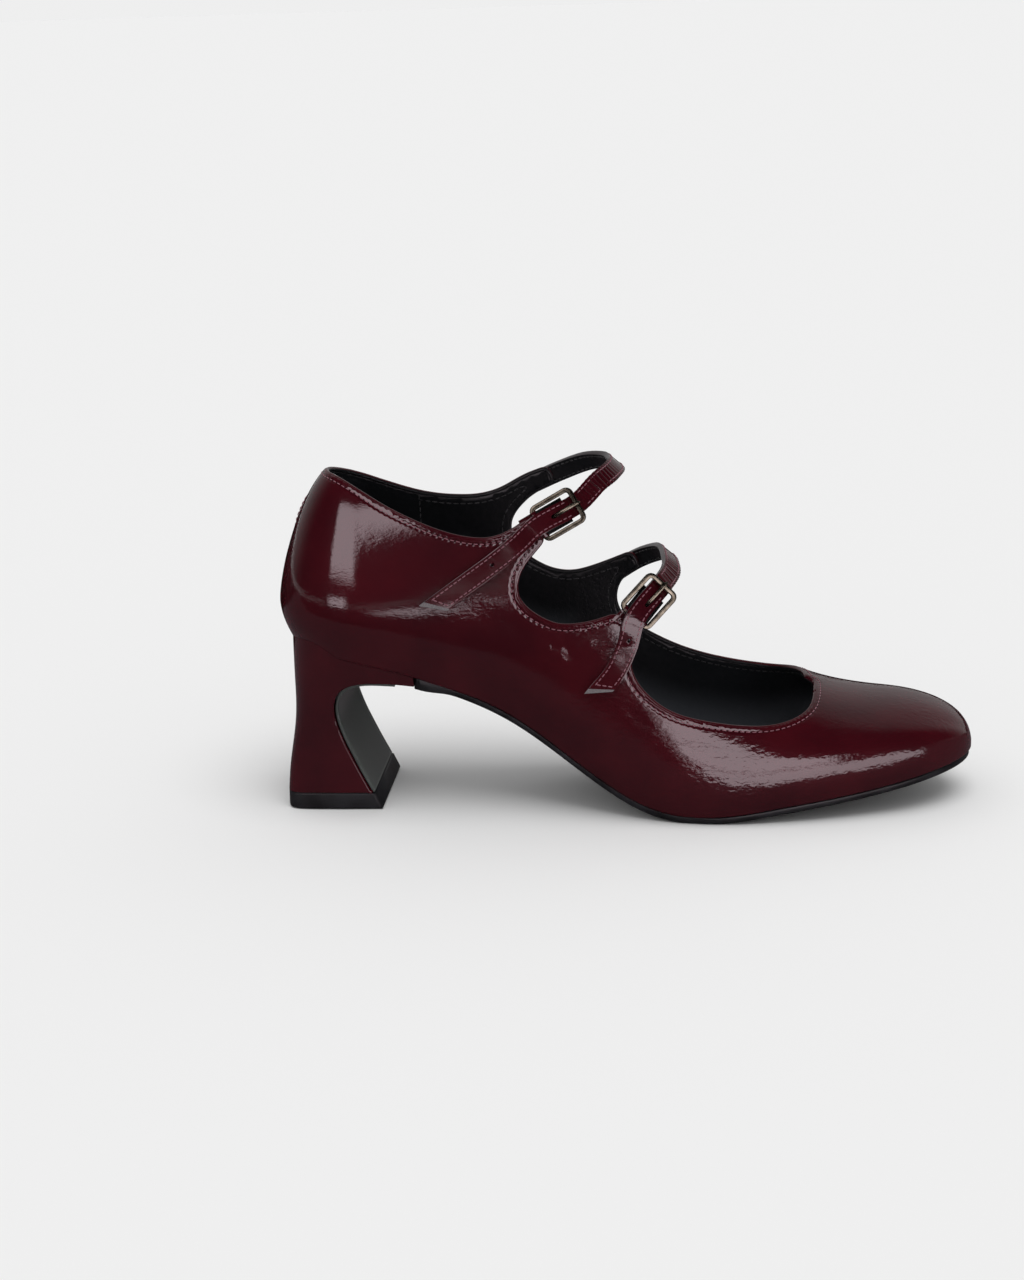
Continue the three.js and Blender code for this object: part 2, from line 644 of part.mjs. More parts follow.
add('upper', geometryOf(upperSolid()), PATENT);
add('insole', geometryOf(insoleSolid()), LEATHER_BLACK);
add('outsole', geometryOf(outsoleSolid()), RUBBER_BLACK);
add('heel', geometryOf(heelSolid()), PATENT);
add('heel_breast_panel', geometryOf(breastPanelSolid()), PANEL_GREY);
add('heel_top_piece', geometryOf(topPieceSolid()), RUBBER_BLACK);
for (const [which, strap] of Object.entries(STRAPS)) {
  const place = buckleFrame(strap);
  add(`strap_${which}`, geometryOf(strapSolid(strap)), PATENT);
  add(`buckle_${which}`, buckleGeometry(), GUNMETAL).applyMatrix4(place);
  add(`prong_${which}`, prongGeometry(), GUNMETAL).applyMatrix4(place);
}

export default shoe;
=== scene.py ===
"""Double-strap mary jane pump, right shoe, in burgundy crinkle patent on a flared block heel."""

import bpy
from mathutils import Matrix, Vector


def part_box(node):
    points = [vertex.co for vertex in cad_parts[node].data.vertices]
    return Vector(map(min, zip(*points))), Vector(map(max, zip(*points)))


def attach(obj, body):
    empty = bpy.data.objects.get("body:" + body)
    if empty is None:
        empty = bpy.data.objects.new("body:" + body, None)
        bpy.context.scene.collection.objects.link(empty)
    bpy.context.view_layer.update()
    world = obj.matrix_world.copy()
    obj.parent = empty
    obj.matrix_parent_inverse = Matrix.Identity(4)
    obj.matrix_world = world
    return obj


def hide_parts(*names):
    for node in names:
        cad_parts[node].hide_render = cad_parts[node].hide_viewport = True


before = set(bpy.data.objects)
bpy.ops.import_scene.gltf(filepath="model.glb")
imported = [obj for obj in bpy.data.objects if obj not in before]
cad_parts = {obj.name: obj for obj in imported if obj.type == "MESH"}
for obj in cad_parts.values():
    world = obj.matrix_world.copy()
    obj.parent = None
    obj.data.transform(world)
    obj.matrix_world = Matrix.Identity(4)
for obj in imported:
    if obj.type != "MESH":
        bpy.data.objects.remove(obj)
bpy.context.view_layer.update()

import math

import bpy
import numpy as np
from mathutils import Matrix, Vector, kdtree

# ---- The table, the camera and the soft lights ----
# A shoe is shown on a seamless white table under a bright tent, so the floor has no horizon.
# The gloss sees black cloth before the shoe, and three softboxes and a lit card draw it.

MM = 0.001
WHITE_TABLE = "#f0f0f0"
SOFTBOX_LIGHT = "#fff0f7"
CAMERA_PLACE = Vector((140.59, -762.44, 279.96)) * MM
CAMERA_LENS = 61.875
CAMERA_TURN = 0.1          # radians, towards the heel
CAMERA_TILT = 0.283        # radians, down
CAMERA_ROLL = -0.03
FELT_EDGE = 0.17          # the grey felt round the shoe ends here and black velvet begins, in metres
CLOTH_STEP = 0.0001       # gap between one flat cloth and the next, in metres


def linear(hex_colour):
    """An sRGB hex colour as the linear RGBA that shaders work in."""
    channels = [int(hex_colour[i:i + 2], 16) / 255 for i in (1, 3, 5)]
    return [c / 12.92 if c <= 0.04045 else ((c + 0.055) / 1.055) ** 2.4 for c in channels] + [1.0]


def add_node(tree, kind, inputs, **settings):
    """A shader node with its settings; inputs maps each socket to a value or to another's output."""
    made = tree.nodes.new("ShaderNode" + kind)
    for name, value in settings.items():
        setattr(made, name, value)
    for socket, value in inputs.items():
        if isinstance(value, bpy.types.NodeSocket):
            tree.links.new(value, made.inputs[socket])
        else:
            made.inputs[socket].default_value = value
    return made


def new_finish(name, sockets):
    """A material whose own shader has these constants; returns it, its tree and its shader."""
    material = bpy.data.materials.new(name)
    material.use_nodes = True
    shader = material.node_tree.nodes["Principled BSDF"]
    for socket, value in sockets.items():
        shader.inputs[socket].default_value = value
    return material, material.node_tree, shader


def stand_camera():
    flat = Vector((-math.sin(CAMERA_TURN), math.cos(CAMERA_TURN), 0))
    right = Vector((math.cos(CAMERA_TURN), math.sin(CAMERA_TURN), 0))
    look = flat * math.cos(CAMERA_TILT) - Vector((0, 0, math.sin(CAMERA_TILT)))
    up = flat * math.sin(CAMERA_TILT) + Vector((0, 0, math.cos(CAMERA_TILT)))
    tilted_right = right * math.cos(CAMERA_ROLL) + up * math.sin(CAMERA_ROLL)
    tilted_up = up * math.cos(CAMERA_ROLL) - right * math.sin(CAMERA_ROLL)
    camera = bpy.data.objects.new("camera", bpy.data.cameras.new("camera"))
    camera.data.lens = CAMERA_LENS
    camera.data.clip_end = 100
    columns = (tilted_right, tilted_up, -look, CAMERA_PLACE)
    camera.matrix_world = Matrix([[column[i] for column in columns] for i in range(3)] + [(0, 0, 0, 1)])
    bpy.context.collection.objects.link(camera)
    bpy.context.scene.camera = camera


def flat_cloth(name, left, right, near, far, z):
    mesh = bpy.data.meshes.new(name)
    corners = [(left, near, z), (right, near, z), (right, far, z), (left, far, z)]
    mesh.from_pydata(corners, [], [(0, 1, 2, 3)])
    cloth = bpy.data.objects.new(name, mesh)
    bpy.context.collection.objects.link(cloth)
    return cloth, mesh


def hang_softbox(name, place, target, width, height, glow, soft=0.25):
    """A lit cloth with soft edges, seen only in the gloss; glow is its radiance at the middle."""
    box, mesh = flat_cloth(name, -width / 2, width / 2, -height / 2, height / 2, 0.0)
    cloth, tree, shader = new_finish(name + "_cloth", {
        "Base Color": linear("#000000"), "Roughness": 1.0, "Specular IOR Level": 0.0,
        "Emission Color": linear(SOFTBOX_LIGHT)})
    spot = add_node(tree, "TexCoord", {})
    parts = add_node(tree, "SeparateXYZ", {0: spot.outputs["Generated"]})
    fades = []
    for axis in ("X", "Y"):
        off = add_node(tree, "Math", {0: parts.outputs[axis], 1: 0.5}, operation="SUBTRACT")
        away = add_node(tree, "Math", {0: off.outputs[0]}, operation="ABSOLUTE")
        fades.append(add_node(tree, "MapRange", {
            "Value": away.outputs[0], "From Min": 0.5 - soft, "From Max": 0.5,
            "To Min": 1.0, "To Max": 0.0}, interpolation_type="SMOOTHSTEP"))
    both = add_node(tree, "Math", {0: fades[0].outputs[0], 1: fades[1].outputs[0]}, operation="MULTIPLY")
    level = add_node(tree, "Math", {0: both.outputs[0], 1: glow}, operation="MULTIPLY")
    tree.links.new(level.outputs[0], shader.inputs["Emission Strength"])
    mesh.materials.append(cloth)
    cloth.cycles.emission_sampling = "NONE"
    box.location = place
    box.rotation_euler = (Vector(target) - Vector(place)).to_track_quat("-Z", "Y").to_euler()
    box.visible_camera = box.visible_diffuse = box.visible_shadow = False


def hang_key():
    """A wide soft key from above right: it lights the inside of the shoe and gives the shadows."""
    key = bpy.data.objects.new("key", bpy.data.lights.new("key", "SUN"))
    key.data.energy, key.data.angle = 1.3, math.radians(45)
    towards_key = Vector((0.18, -0.22, 0.95))
    key.rotation_euler = towards_key.to_track_quat("Z", "Y").to_euler()
    key.visible_glossy = False
    bpy.context.collection.objects.link(key)


def light_tent(radiance, backdrop, gloss_behind, gloss_before):
    """An even dome for the table. The gloss sees it pale behind the shoe and dark before it."""
    world = bpy.data.worlds.new("tent")
    bpy.context.scene.world = world
    world.use_nodes = True
    tree = world.node_tree
    tree.nodes.clear()
    way = add_node(tree, "TexCoord", {})
    parts = add_node(tree, "SeparateXYZ", {0: way.outputs["Generated"]})
    behind = add_node(tree, "MapRange", {
        "Value": parts.outputs["Y"], "From Min": -0.1, "From Max": 0.75,
        "To Min": gloss_before, "To Max": gloss_behind}, interpolation_type="SMOOTHSTEP")
    path = add_node(tree, "LightPath", {})
    shown = add_node(tree, "Mix", {
        "Factor": path.outputs["Is Camera Ray"], "A": radiance, "B": backdrop})
    seen = add_node(tree, "Mix", {
        "Factor": path.outputs["Is Glossy Ray"], "A": shown.outputs[0], "B": behind.outputs["Result"]})
    cloth = add_node(tree, "Background", {"Color": linear("#ffffff"), "Strength": seen.outputs[0]})
    add_node(tree, "OutputWorld", {"Surface": cloth.outputs[0]})


# Plan corners of the lit card, in metres, from the far left round to the near left.
CARD_CORNERS = ((-0.06, -1.15), (1.0, -1.0), (0.30, -0.07), (0.146, -0.085))


def lay_table():
    table, mesh = flat_cloth("table", -300, 300, -300, 300, -2 * CLOTH_STEP)
    # Matt white laminate: no gloss, so that it takes only soft shadows.
    laminate, tree, shader = new_finish("white_laminate", {
        "Base Color": linear(WHITE_TABLE), "Roughness": 0.9, "Specular IOR Level": 0.0})
    mesh.materials.append(laminate)


def lay_cloths():
    """Cloths seen only in the gloss: grey felt round the shoe and black velvet beyond it, so that
    the leather's sides stay dark, and a lit card for the vamp."""
    velvet, tree, shader = new_finish("black_velvet", {
        "Base Color": linear("#050505"), "Roughness": 1.0, "Specular IOR Level": 0.0})
    felt, tree, shader = new_finish("grey_felt", {
        "Base Color": linear("#585054"), "Roughness": 1.0, "Specular IOR Level": 0.0})
    glowing, tree, shader = new_finish("lit_card", {
        "Base Color": linear("#000000"), "Emission Color": linear(SOFTBOX_LIGHT), "Emission Strength": 3.2})
    glowing.cycles.emission_sampling = "NONE"
    for name, near, far, finish in (
            ("front_flag", -5, -FELT_EDGE, velvet), ("back_flag", FELT_EDGE, 5, velvet),
            ("near_felt", -FELT_EDGE, FELT_EDGE, felt), ("vamp_card", -1, 1, glowing)):
        cloth, mesh = flat_cloth(name, -4, 4, near, far, CLOTH_STEP)
        mesh.materials.append(finish)
        cloth.visible_camera = cloth.visible_diffuse = cloth.visible_shadow = False
    # The card fans out over the felt before the ball of the foot.
    for corner, place in zip(bpy.data.meshes["vamp_card"].vertices, CARD_CORNERS):
        corner.co = (*place, 2 * CLOTH_STEP)


stand_camera()
lay_table()
lay_cloths()
light_tent(radiance=0.60, backdrop=0.86, gloss_behind=0.30, gloss_before=0.004)
HEEL_CUP = (0.0, -0.03, 0.09)
hang_softbox("heel_softbox", (-0.186, -0.438, 0.335), HEEL_CUP, 0.33, 0.36, 3.6, soft=0.16)
hang_softbox("heel_strip", (-0.215, -0.425, 0.090), (0.0, -0.03, 0.07), 0.24, 0.06, 3.8, soft=0.3)
hang_softbox("vamp_softbox", (0.252, -0.450, 0.080), (0.252, 0.0, 0.08), 0.36, 0.16, 3.8, soft=0.14)
hang_key()
bpy.context.scene.view_settings.view_transform = "Standard"

# ---- Upper: two quarters and a vamp of crinkle patent, lasted over the foot's form ----
# Burgundy leather 1.1 mm thick with a poured lacquer face. The quarters meet in a seam up the
# back of the heel. The topline's edge is folded over and sewn; the fold is made in the next
# section, with the lining that meets it.

BACK, TIP = -2.9, 246.0          # stations of the heel cup's back and of the toe's tip
HEEL_AXIS, TOE_START = 30.0, 214.0
HEEL_PLAN, TOE_PLAN, TOE_RISE = 2.15, 2.3, 2.4
TOP_PIECE_BACK = -1.3
HEEL_CENTRE = TOP_PIECE_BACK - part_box("heel_top_piece")[0][0] / MM
LEATHER = 1.1
WALL = 2.0
THROAT_FRONT = 182.0             # from this station on the throat is one round curve
FOLD = 0.75                      # how far the folded edge stands past the flat leather
STITCH_MARGIN = 2.4
STITCH_PITCH = 2.1
THREAD = 0.2                     # radius of the sewing thread
SECTIONS = np.array([
    # station, outer and inner half-width, foot, feather, bulge, ridge, crown, swing
    (BACK, 31.0, 31.0, 0.85, 59.6, 15.0, 130.0, 1.70, 0.0),
    (30.0, 31.0, 31.0, 0.83, 55.4, 18.0, 130.0, 1.70, 0.0),
    (55.0, 29.5, 28.5, 0.80, 47.6, 22.0, 134.0, 1.90, 0.0),
    (80.0, 29.0, 27.5, 0.80, 37.0, 26.0, 142.0, 2.10, 0.0),
    (105.0, 31.5, 29.5, 0.84, 19.6, 25.0, 137.0, 2.10, 0.0),
    (130.0, 36.5, 35.0, 0.90, 5.2, 18.0, 100.0, 2.10, 0.0),
    (148.0, 39.2, 38.3, 0.94, 2.5, 12.5, 74.0, 2.10, 0.5),
    (178.0, 38.7, 37.2, 0.95, 6.0, 10.0, 47.0, 2.15, 1.5),
    (203.0, 34.4, 32.4, 0.95, 9.6, 9.0, 38.2, 2.20, 2.5),
    (225.0, 28.5, 27.0, 0.95, 13.4, 8.0, 36.0, 2.20, 3.2),
    (TIP, 24.0, 23.0, 0.96, 17.4, 7.0, 35.5, 2.20, 3.6),
])
OUTER_TOPLINE = [
    [(8, 122.3), (14, 122.2), (24, 120.4), (42, 111), (59.5, 103.9), (73, 101.4), (82, 103.4), (90.6, 109)],
    [(96.2, 100.7), (87.2, 89.2), (87.2, 79.4), (97.8, 72.1), (109, 72.2), (119.8, 75.4)],
    [(129.6, 70.2), (125.2, 61), (127.6, 51), (138.4, 41.7), (154.3, 37.2), (172.6, 35.4),
     (186.5, 38.3), (190.3, 44.5)],
]
INNER_TOPLINE = [
    [(8, 122.3), (14, 122.2), (20, 118.9), (44.9, 109.2), (62.5, 106.8), (74, 108.6), (84.9, 114.4),
     (93.8, 117.9)],
    [(96.6, 111.5), (86, 104.9), (79.6, 96), (81.5, 86.5), (90.9, 79), (101, 76.7), (112.3, 79.8),
     (123.8, 84.9)],
    [(127.4, 78.7), (119.5, 72.5), (117.7, 63.5), (122.5, 56.5), (138.6, 46.9), (156, 41.4),
     (176, 40), (190.3, 44.5)],
]
# Creases of wear and lasting on the outer side: from and to (station, height), depth, width.
OUTER_CREASES = [
    ((101, 68.5), (104.5, 58), 0.45, 1.5),
    ((104.5, 69), (106, 61), 0.4, 1.4),
    ((108, 70), (107.5, 62.5), 0.3, 1.4),
    ((97, 66), (101, 61), 0.3, 1.5),
    ((83, 74), (88, 66), 0.08, 2.4),
    ((121, 46), (133, 33), 0.12, 2.4),
    ((60, 92), (84, 84), 0.06, 3.4),
    ((70, 60), (98, 46), 0.06, 3.4),
    ((20, 92), (52, 84), 0.05, 3.5),
    ((141, 30), (168, 24), 0.2, 2.6),
]
# Columns of a sheet's table: the point, its normal, station, turn, side-view distance to the
# topline, true distance to it, and the place along it.
POINT, NORMAL = slice(0, 3), slice(3, 6)
STATION, TURN, FLAT_EDGE, EDGE, RUN = range(6, 11)
EDGE_STEP = 0.3                  # between points of the topline


def natural_spline(at, values):
    """Natural cubic spline through values, as a function of its own argument."""
    steps = np.diff(at)
    size = len(at)
    system = np.eye(size)
    bends = np.zeros(size)
    for i in range(1, size - 1):
        system[i, i - 1:i + 2] = steps[i - 1], 2 * (steps[i - 1] + steps[i]), steps[i]
        rise_on, rise_back = values[i + 1] - values[i], values[i] - values[i - 1]
        bends[i] = 6 * (rise_on / steps[i] - rise_back / steps[i - 1])
    second = np.linalg.solve(system, bends)

    def value(place):
        place = np.asarray(place, float)
        i = np.clip(np.searchsorted(at, place) - 1, 0, size - 2)
        step = at[i + 1] - at[i]
        b = (place - at[i]) / step
        a = 1 - b
        bend = ((a ** 3 - a) * second[i] + (b ** 3 - b) * second[i + 1]) * step ** 2 / 6
        return a * values[i] + b * values[i + 1] + bend
    return value


(outer_half, inner_half, foot_share, feather_height, bulge_height, ridge_height, crown_power,
 swing_shift) = [natural_spline(SECTIONS[:, 0], SECTIONS[:, k]) for k in range(1, 9)]


def round_off(part, power):
    return (1 - np.clip(part, 0, 1) ** power) ** (1 / power)


def ease(part):
    t = np.clip(part, 0, 1)
    return t ** 3 * (t * (6 * t - 15) + 10)


def last_point(station, turn, inset=0.0):
    """Surface of the lasted shoe; turn goes 0 outer feather, 1 ridge, 2 inner feather."""
    station, turn = np.broadcast_arrays(np.asarray(station, float), np.asarray(turn, float))
    inner = turn > 1
    level = np.where(inner, 2 - turn, turn)
    body = np.maximum(station, HEEL_AXIS)
    width = np.where(inner, inner_half(body), outer_half(body)) - inset
    power = crown_power(body)
    heel = (HEEL_AXIS - station) / (HEEL_AXIS - BACK - inset)
    toe = (station - TOE_START) / (TIP - inset - TOE_START)
    foot = np.arccos(foot_share(station) ** (power / 2))
    angle = level * (np.pi / 2 + foot) - foot
    reach = np.maximum(np.cos(angle), 0) ** (2 / power)
    rise = np.sign(angle) * np.abs(np.sin(angle)) ** (2 / power)
    feather, bulge = feather_height(station), bulge_height(station)
    low = bulge / np.abs(np.sin(foot)) ** (2 / power)
    high = ridge_height(body) - inset - feather - bulge
    stretch = low + (high - low) * ease((angle + foot) / (foot + np.pi / 3))
    x = np.where(station < HEEL_AXIS, HEEL_AXIS - (HEEL_AXIS - station) * reach, station)
    side = np.where(inner, 1.0, -1.0)
    plan = round_off(heel, HEEL_PLAN) * round_off(toe, TOE_PLAN)
    y = swing_shift(station) + side * width * plan * reach
    z = feather + round_off(toe, TOE_RISE) * (bulge + stretch * rise)
    return np.stack([x, y, z], -1)


def unit(vectors):
    return vectors / np.maximum(np.linalg.norm(vectors, axis=-1, keepdims=True), 1e-12)


def between(start, end, leaving, arriving, w):
    """Point at share w of a smooth step that leaves and arrives with these speeds."""
    return ((2 * start - 2 * end + leaving + arriving) * w ** 3
            + (3 * end - 3 * start - 2 * leaving - arriving) * w ** 2 + leaving * w + start)


def flowing_line(rows, pieces):
    """Smooth line through the rows."""
    rows = np.array(rows, float)
    last = len(rows) - 1
    out = []
    for t in np.linspace(0, last, pieces + 1):
        i = min(int(t), last - 1)
        p0, p1, p2, p3 = rows[max(i - 1, 0)], rows[i], rows[i + 1], rows[min(i + 2, last)]
        w, v0, v1 = t - i, (p2 - p0) / 2, (p3 - p1) / 2
        out.append(between(p1, p2, v0, v1, w))
    return np.array(out)


def even_line(points, spacing, closed=False):
    """The same line with its points evenly spaced, and the place of each along it."""
    points = np.asarray(points, float)
    if closed:
        points = np.vstack([points, points[:1]])
    place = np.concatenate([[0], np.cumsum(np.linalg.norm(np.diff(points, axis=0), axis=1))])
    count = max(int(round(place[-1] / spacing)), 2)
    even = np.linspace(0, place[-1], count + 1)
    line = np.stack([np.interp(even, place, points[:, k]) for k in range(points.shape[1])], 1)
    return (line[:-1] if closed else line), even


def outline_distance(x, z, outline):
    """Distance in side view from each point to a closed outline, positive outside it."""
    shape = x.shape
    p = np.stack([x.ravel(), z.ravel()], 1)
    nearest = np.full(len(p), np.inf)
    inside = np.zeros(len(p), bool)
    for a, b in zip(outline, np.roll(outline, -1, axis=0)):
        ab = b - a
        part = np.clip(((p - a) @ ab) / max(ab @ ab, 1e-9), 0, 1)
        nearest = np.minimum(nearest, np.linalg.norm(p - a - part[:, None] * ab, axis=1))
        if a[1] != b[1]:
            crosses = (a[1] > p[:, 1]) != (b[1] > p[:, 1])
            at = a[0] + (p[:, 1] - a[1]) * ab[0] / ab[1]
            inside ^= crosses & (p[:, 0] < at)
    return np.where(inside, -nearest, nearest).reshape(shape)


def opening_outline(topline):
    line = np.vstack([flowing_line(stretch, 40) for stretch in topline])
    line = even_line(line, 0.5)[0]
    above = [(line[-1][0], 200), (BACK - 10, 200), (BACK - 10, topline[0][0][1])]
    return np.vstack([line, above])


def trim(table, faces, keep):
    """Faces where keep is above zero, cut along its zero line; also the cut edges."""
    keep = np.where(np.abs(keep) < 0.04, 0.0, keep)
    rows = list(table)
    cut_at = {}
    kept, cuts = [], []

    def cut(a, b):
        key = (min(a, b), max(a, b))
        if key not in cut_at:
            part = keep[key[0]] / (keep[key[0]] - keep[key[1]])
            cut_at[key] = len(rows)
            rows.append(table[key[0]] * (1 - part) + table[key[1]] * part)
        return cut_at[key]

    for face in faces:
        stays = [keep[i] >= 0 for i in face]
        if all(stays):
            kept.append(tuple(face))
        elif any(keep[i] > 0 for i in face):
            ring, new = [], []
            for a, b, sa, sb in zip(face, face[1:] + face[:1], stays, stays[1:] + stays[:1]):
                if sa:
                    ring.append(a)
                    if keep[a] == 0 and (not sb or not stays[face.index(a) - 1]):
                        new.append(a)
                if sa != sb and keep[a] != 0 and keep[b] != 0:
                    ring.append(cut(a, b))
                    new.append(ring[-1])
            if len(ring) > 2:
                kept.append(tuple(ring))
                if len(new) == 2:
                    cuts.append(tuple(new))
    used = sorted({i for face in kept for i in face})
    renumber = {old: new for new, old in enumerate(used)}
    cuts = [(renumber[a], renumber[b]) for a, b in cuts if a in renumber and b in renumber and a != b]
    return np.array([rows[i] for i in used]), [tuple(renumber[i] for i in f) for f in kept], cuts


def weld(table, faces):
    """Corners that share a place made one, and faces with no area dropped."""
    _, first, joined = np.unique(
        np.round(table[:, POINT], 3), axis=0, return_index=True, return_inverse=True)
    joined = joined.ravel()
    out = []
    for face in faces:
        ring = [int(joined[i]) for i in face]
        ring = [v for v, w in zip(ring, ring[1:] + ring[:1]) if v != w]
        if len(set(ring)) > 2:
            out.append(tuple(ring))
    return table[first], out


def chains(cuts):
    """Cut edges joined end to end into lines of indices, the longest first."""
    beside = {}
    for a, b in cuts:
        beside.setdefault(a, set()).add(b)
        beside.setdefault(b, set()).add(a)
    lines, left = [], set(beside)
    while left:
        ends = sorted(v for v in left if len(beside[v]) == 1)
        at = ends[0] if ends else min(left)
        line = [at]
        left.discard(at)
        while True:
            ahead = sorted(v for v in beside[at] if v in left)
            if not ahead:
                break
            at = ahead[0]
            left.discard(at)
            line.append(at)
        lines.append(line)
    return sorted(lines, key=len, reverse=True)


def grid_faces(rows, columns):
    return [(i * columns + j, (i + 1) * columns + j, (i + 1) * columns + j + 1, i * columns + j + 1)
            for i in range(rows - 1) for j in range(columns - 1)]


def lasted_sheet(rows, columns):
    """Grid over the last with its normals, and each point's side-view distance to the topline."""
    station = BACK + (TIP - BACK) * (1 - np.cos(np.pi * np.linspace(0, 1, rows))) / 2
    turn = np.linspace(0, 2, columns)
    points = last_point(station[:, None], turn[None, :])
    along = np.gradient(points, axis=0)
    around = np.gradient(points, axis=1)
    along[0] = (points[1] - points[0]) * (0, 1, 0)
    along[-1] = (points[-1] - points[-2]) * (0, 1, 0)
    normals = unit(np.cross(along, around))
    normals[-1] = (1, 0, 0)
    outlines = [outline_distance(points[..., 0], points[..., 2], opening_outline(topline))
                for topline in (OUTER_TOPLINE, INNER_TOPLINE)]
    flat = np.where(turn[None, :] <= 1, *outlines)
    shape = (rows, columns, 1)
    table = np.concatenate([
        points, normals, np.broadcast_to(station[:, None, None], shape),
        np.broadcast_to(turn[None, :, None], shape), flat[..., None], np.zeros((rows, columns, 2))], -1)
    return table.reshape(rows * columns, -1), grid_faces(rows, columns)


def end_to_end(lines, reach=5.0):
    """Lines whose ends lie within reach of each other, joined into longer ones."""
    lines = [np.asarray(line) for line in lines if len(line) > 1]
    merged = []
    while lines:
        line = lines.pop(0)
        while lines:
            gaps = []
            for i, other in enumerate(lines):
                for at_start in (True, False):
                    for flipped in (True, False):
                        near = line[0] if at_start else line[-1]
                        far = other[0] if flipped == at_start else other[-1]
                        gaps.append((np.linalg.norm(near[POINT] - far[POINT]), i, at_start, flipped))
            gap, i, at_start, flipped = min(gaps)
            if gap > reach:
                break
            other = lines.pop(i)
            other = other[::-1] if flipped else other
            line = np.vstack([other, line] if at_start else [line, other])
        merged.append(line)
    return merged


def topline_loop():
    """The whole topline in space, evenly spaced, from the back round the outer side."""
    table, faces = lasted_sheet(240, 181)
    cut_table, _, cuts = trim(table, faces, table[:, FLAT_EDGE])
    line = max(end_to_end([cut_table[chain] for chain in chains(cuts)]), key=len)
    points, _ = even_line(line[:, POINT], EDGE_STEP, closed=True)
    for step in range(40):
        even = (np.roll(points, 1, 0) + 2 * points + np.roll(points, -1, 0)) / 4
        # The two sides meet at the front of the throat in one round curve.
        moves = (points[:, :1] > THROAT_FRONT) | (step < 3)
        points = np.where(moves, even, points)
    return points


TOPLINE = topline_loop()
TOPLINE_RUN = np.concatenate([[0], np.cumsum(np.linalg.norm(np.diff(TOPLINE, axis=0), axis=1))])


def measure_edge(table):
    """Fills in each point's distance from the topline and the place along it."""
    tree = kdtree.KDTree(len(TOPLINE))
    for i, point in enumerate(TOPLINE):
        tree.insert(point, i)
    tree.balance()
    near = np.array([tree.find(p)[1] for p in table[:, POINT]])
    best = np.full(len(table), np.inf)
    run = np.zeros(len(table))
    for step in (-1, 0):
        a = TOPLINE[(near + step) % len(TOPLINE)]
        ab = TOPLINE[(near + step + 1) % len(TOPLINE)] - a
        part = np.clip(np.sum((table[:, POINT] - a) * ab, 1) / np.maximum(np.sum(ab * ab, 1), 1e-9), 0, 1)
        gap = np.linalg.norm(table[:, POINT] - a - part[:, None] * ab, axis=1)
        nearer = gap < best
        best = np.where(nearer, gap, best)
        run = np.where(nearer, TOPLINE_RUN[(near + step) % len(TOPLINE)] + part * EDGE_STEP, run)
    table[:, EDGE] = np.where(table[:, FLAT_EDGE] < 0, -best, best)
    table[:, RUN] = run
    return table


def crease(points, outer, start, end, depth, width):
    """A soft trough with low banks, tapered at both ends, in side view."""
    a, b = np.array(start, float), np.array(end, float)
    ab = b - a
    p = points[:, [0, 2]] - a
    along = p @ ab / (ab @ ab)
    off = np.abs(p @ np.array([-ab[1], ab[0]])) / np.linalg.norm(ab)
    taper = np.clip(1 - (2 * along - 1) ** 2, 0, 1) * (np.abs(along - 0.5) < 0.5)
    trough = np.exp(-(off / width) ** 2) - 0.45 * np.exp(-((off - 1.9 * width) / width) ** 2)
    return -depth * taper * trough * outer


def make_piece(name, points, faces, finishes, attributes=None, face_finish=None):
    """A mesh piece from points in the shoe's millimetres, smooth shaded, riding on the shoe."""
    mesh = bpy.data.meshes.new(name)
    metres = (np.asarray(points, float)[:, :3] - (HEEL_CENTRE, 0, 0)) * MM
    mesh.from_pydata(metres.tolist(), [], faces)
    for finish in finishes:
        mesh.materials.append(finish)
    if face_finish is not None:
        mesh.polygons.foreach_set("material_index", np.asarray(face_finish, np.int32))
    for label, values in (attributes or {}).items():
        layer = mesh.attributes.new(label, "FLOAT", "POINT")
        layer.data.foreach_set("value", np.asarray(values, np.float32))
    mesh.polygons.foreach_set("use_smooth", [True] * len(mesh.polygons))
    mesh.validate()
    mesh.update()
    piece = bpy.data.objects.new(name, mesh)
    bpy.context.collection.objects.link(piece)
    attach(piece, "root")
    return piece


def thicken(piece, thickness, offset, rim_finish=0, back_finish=0):
    wall = piece.modifiers.new("wall", "SOLIDIFY")
    wall.thickness, wall.offset = thickness * MM, offset
    wall.use_even_offset = False
    wall.material_offset, wall.material_offset_rim = back_finish, rim_finish


# Crinkle of the lacquer: features a millimetre, and height in mm.
WRINKLES, PEBBLES, PORES = (0.46, 0.105), (0.7, 0.032), (1.6, 0.014)


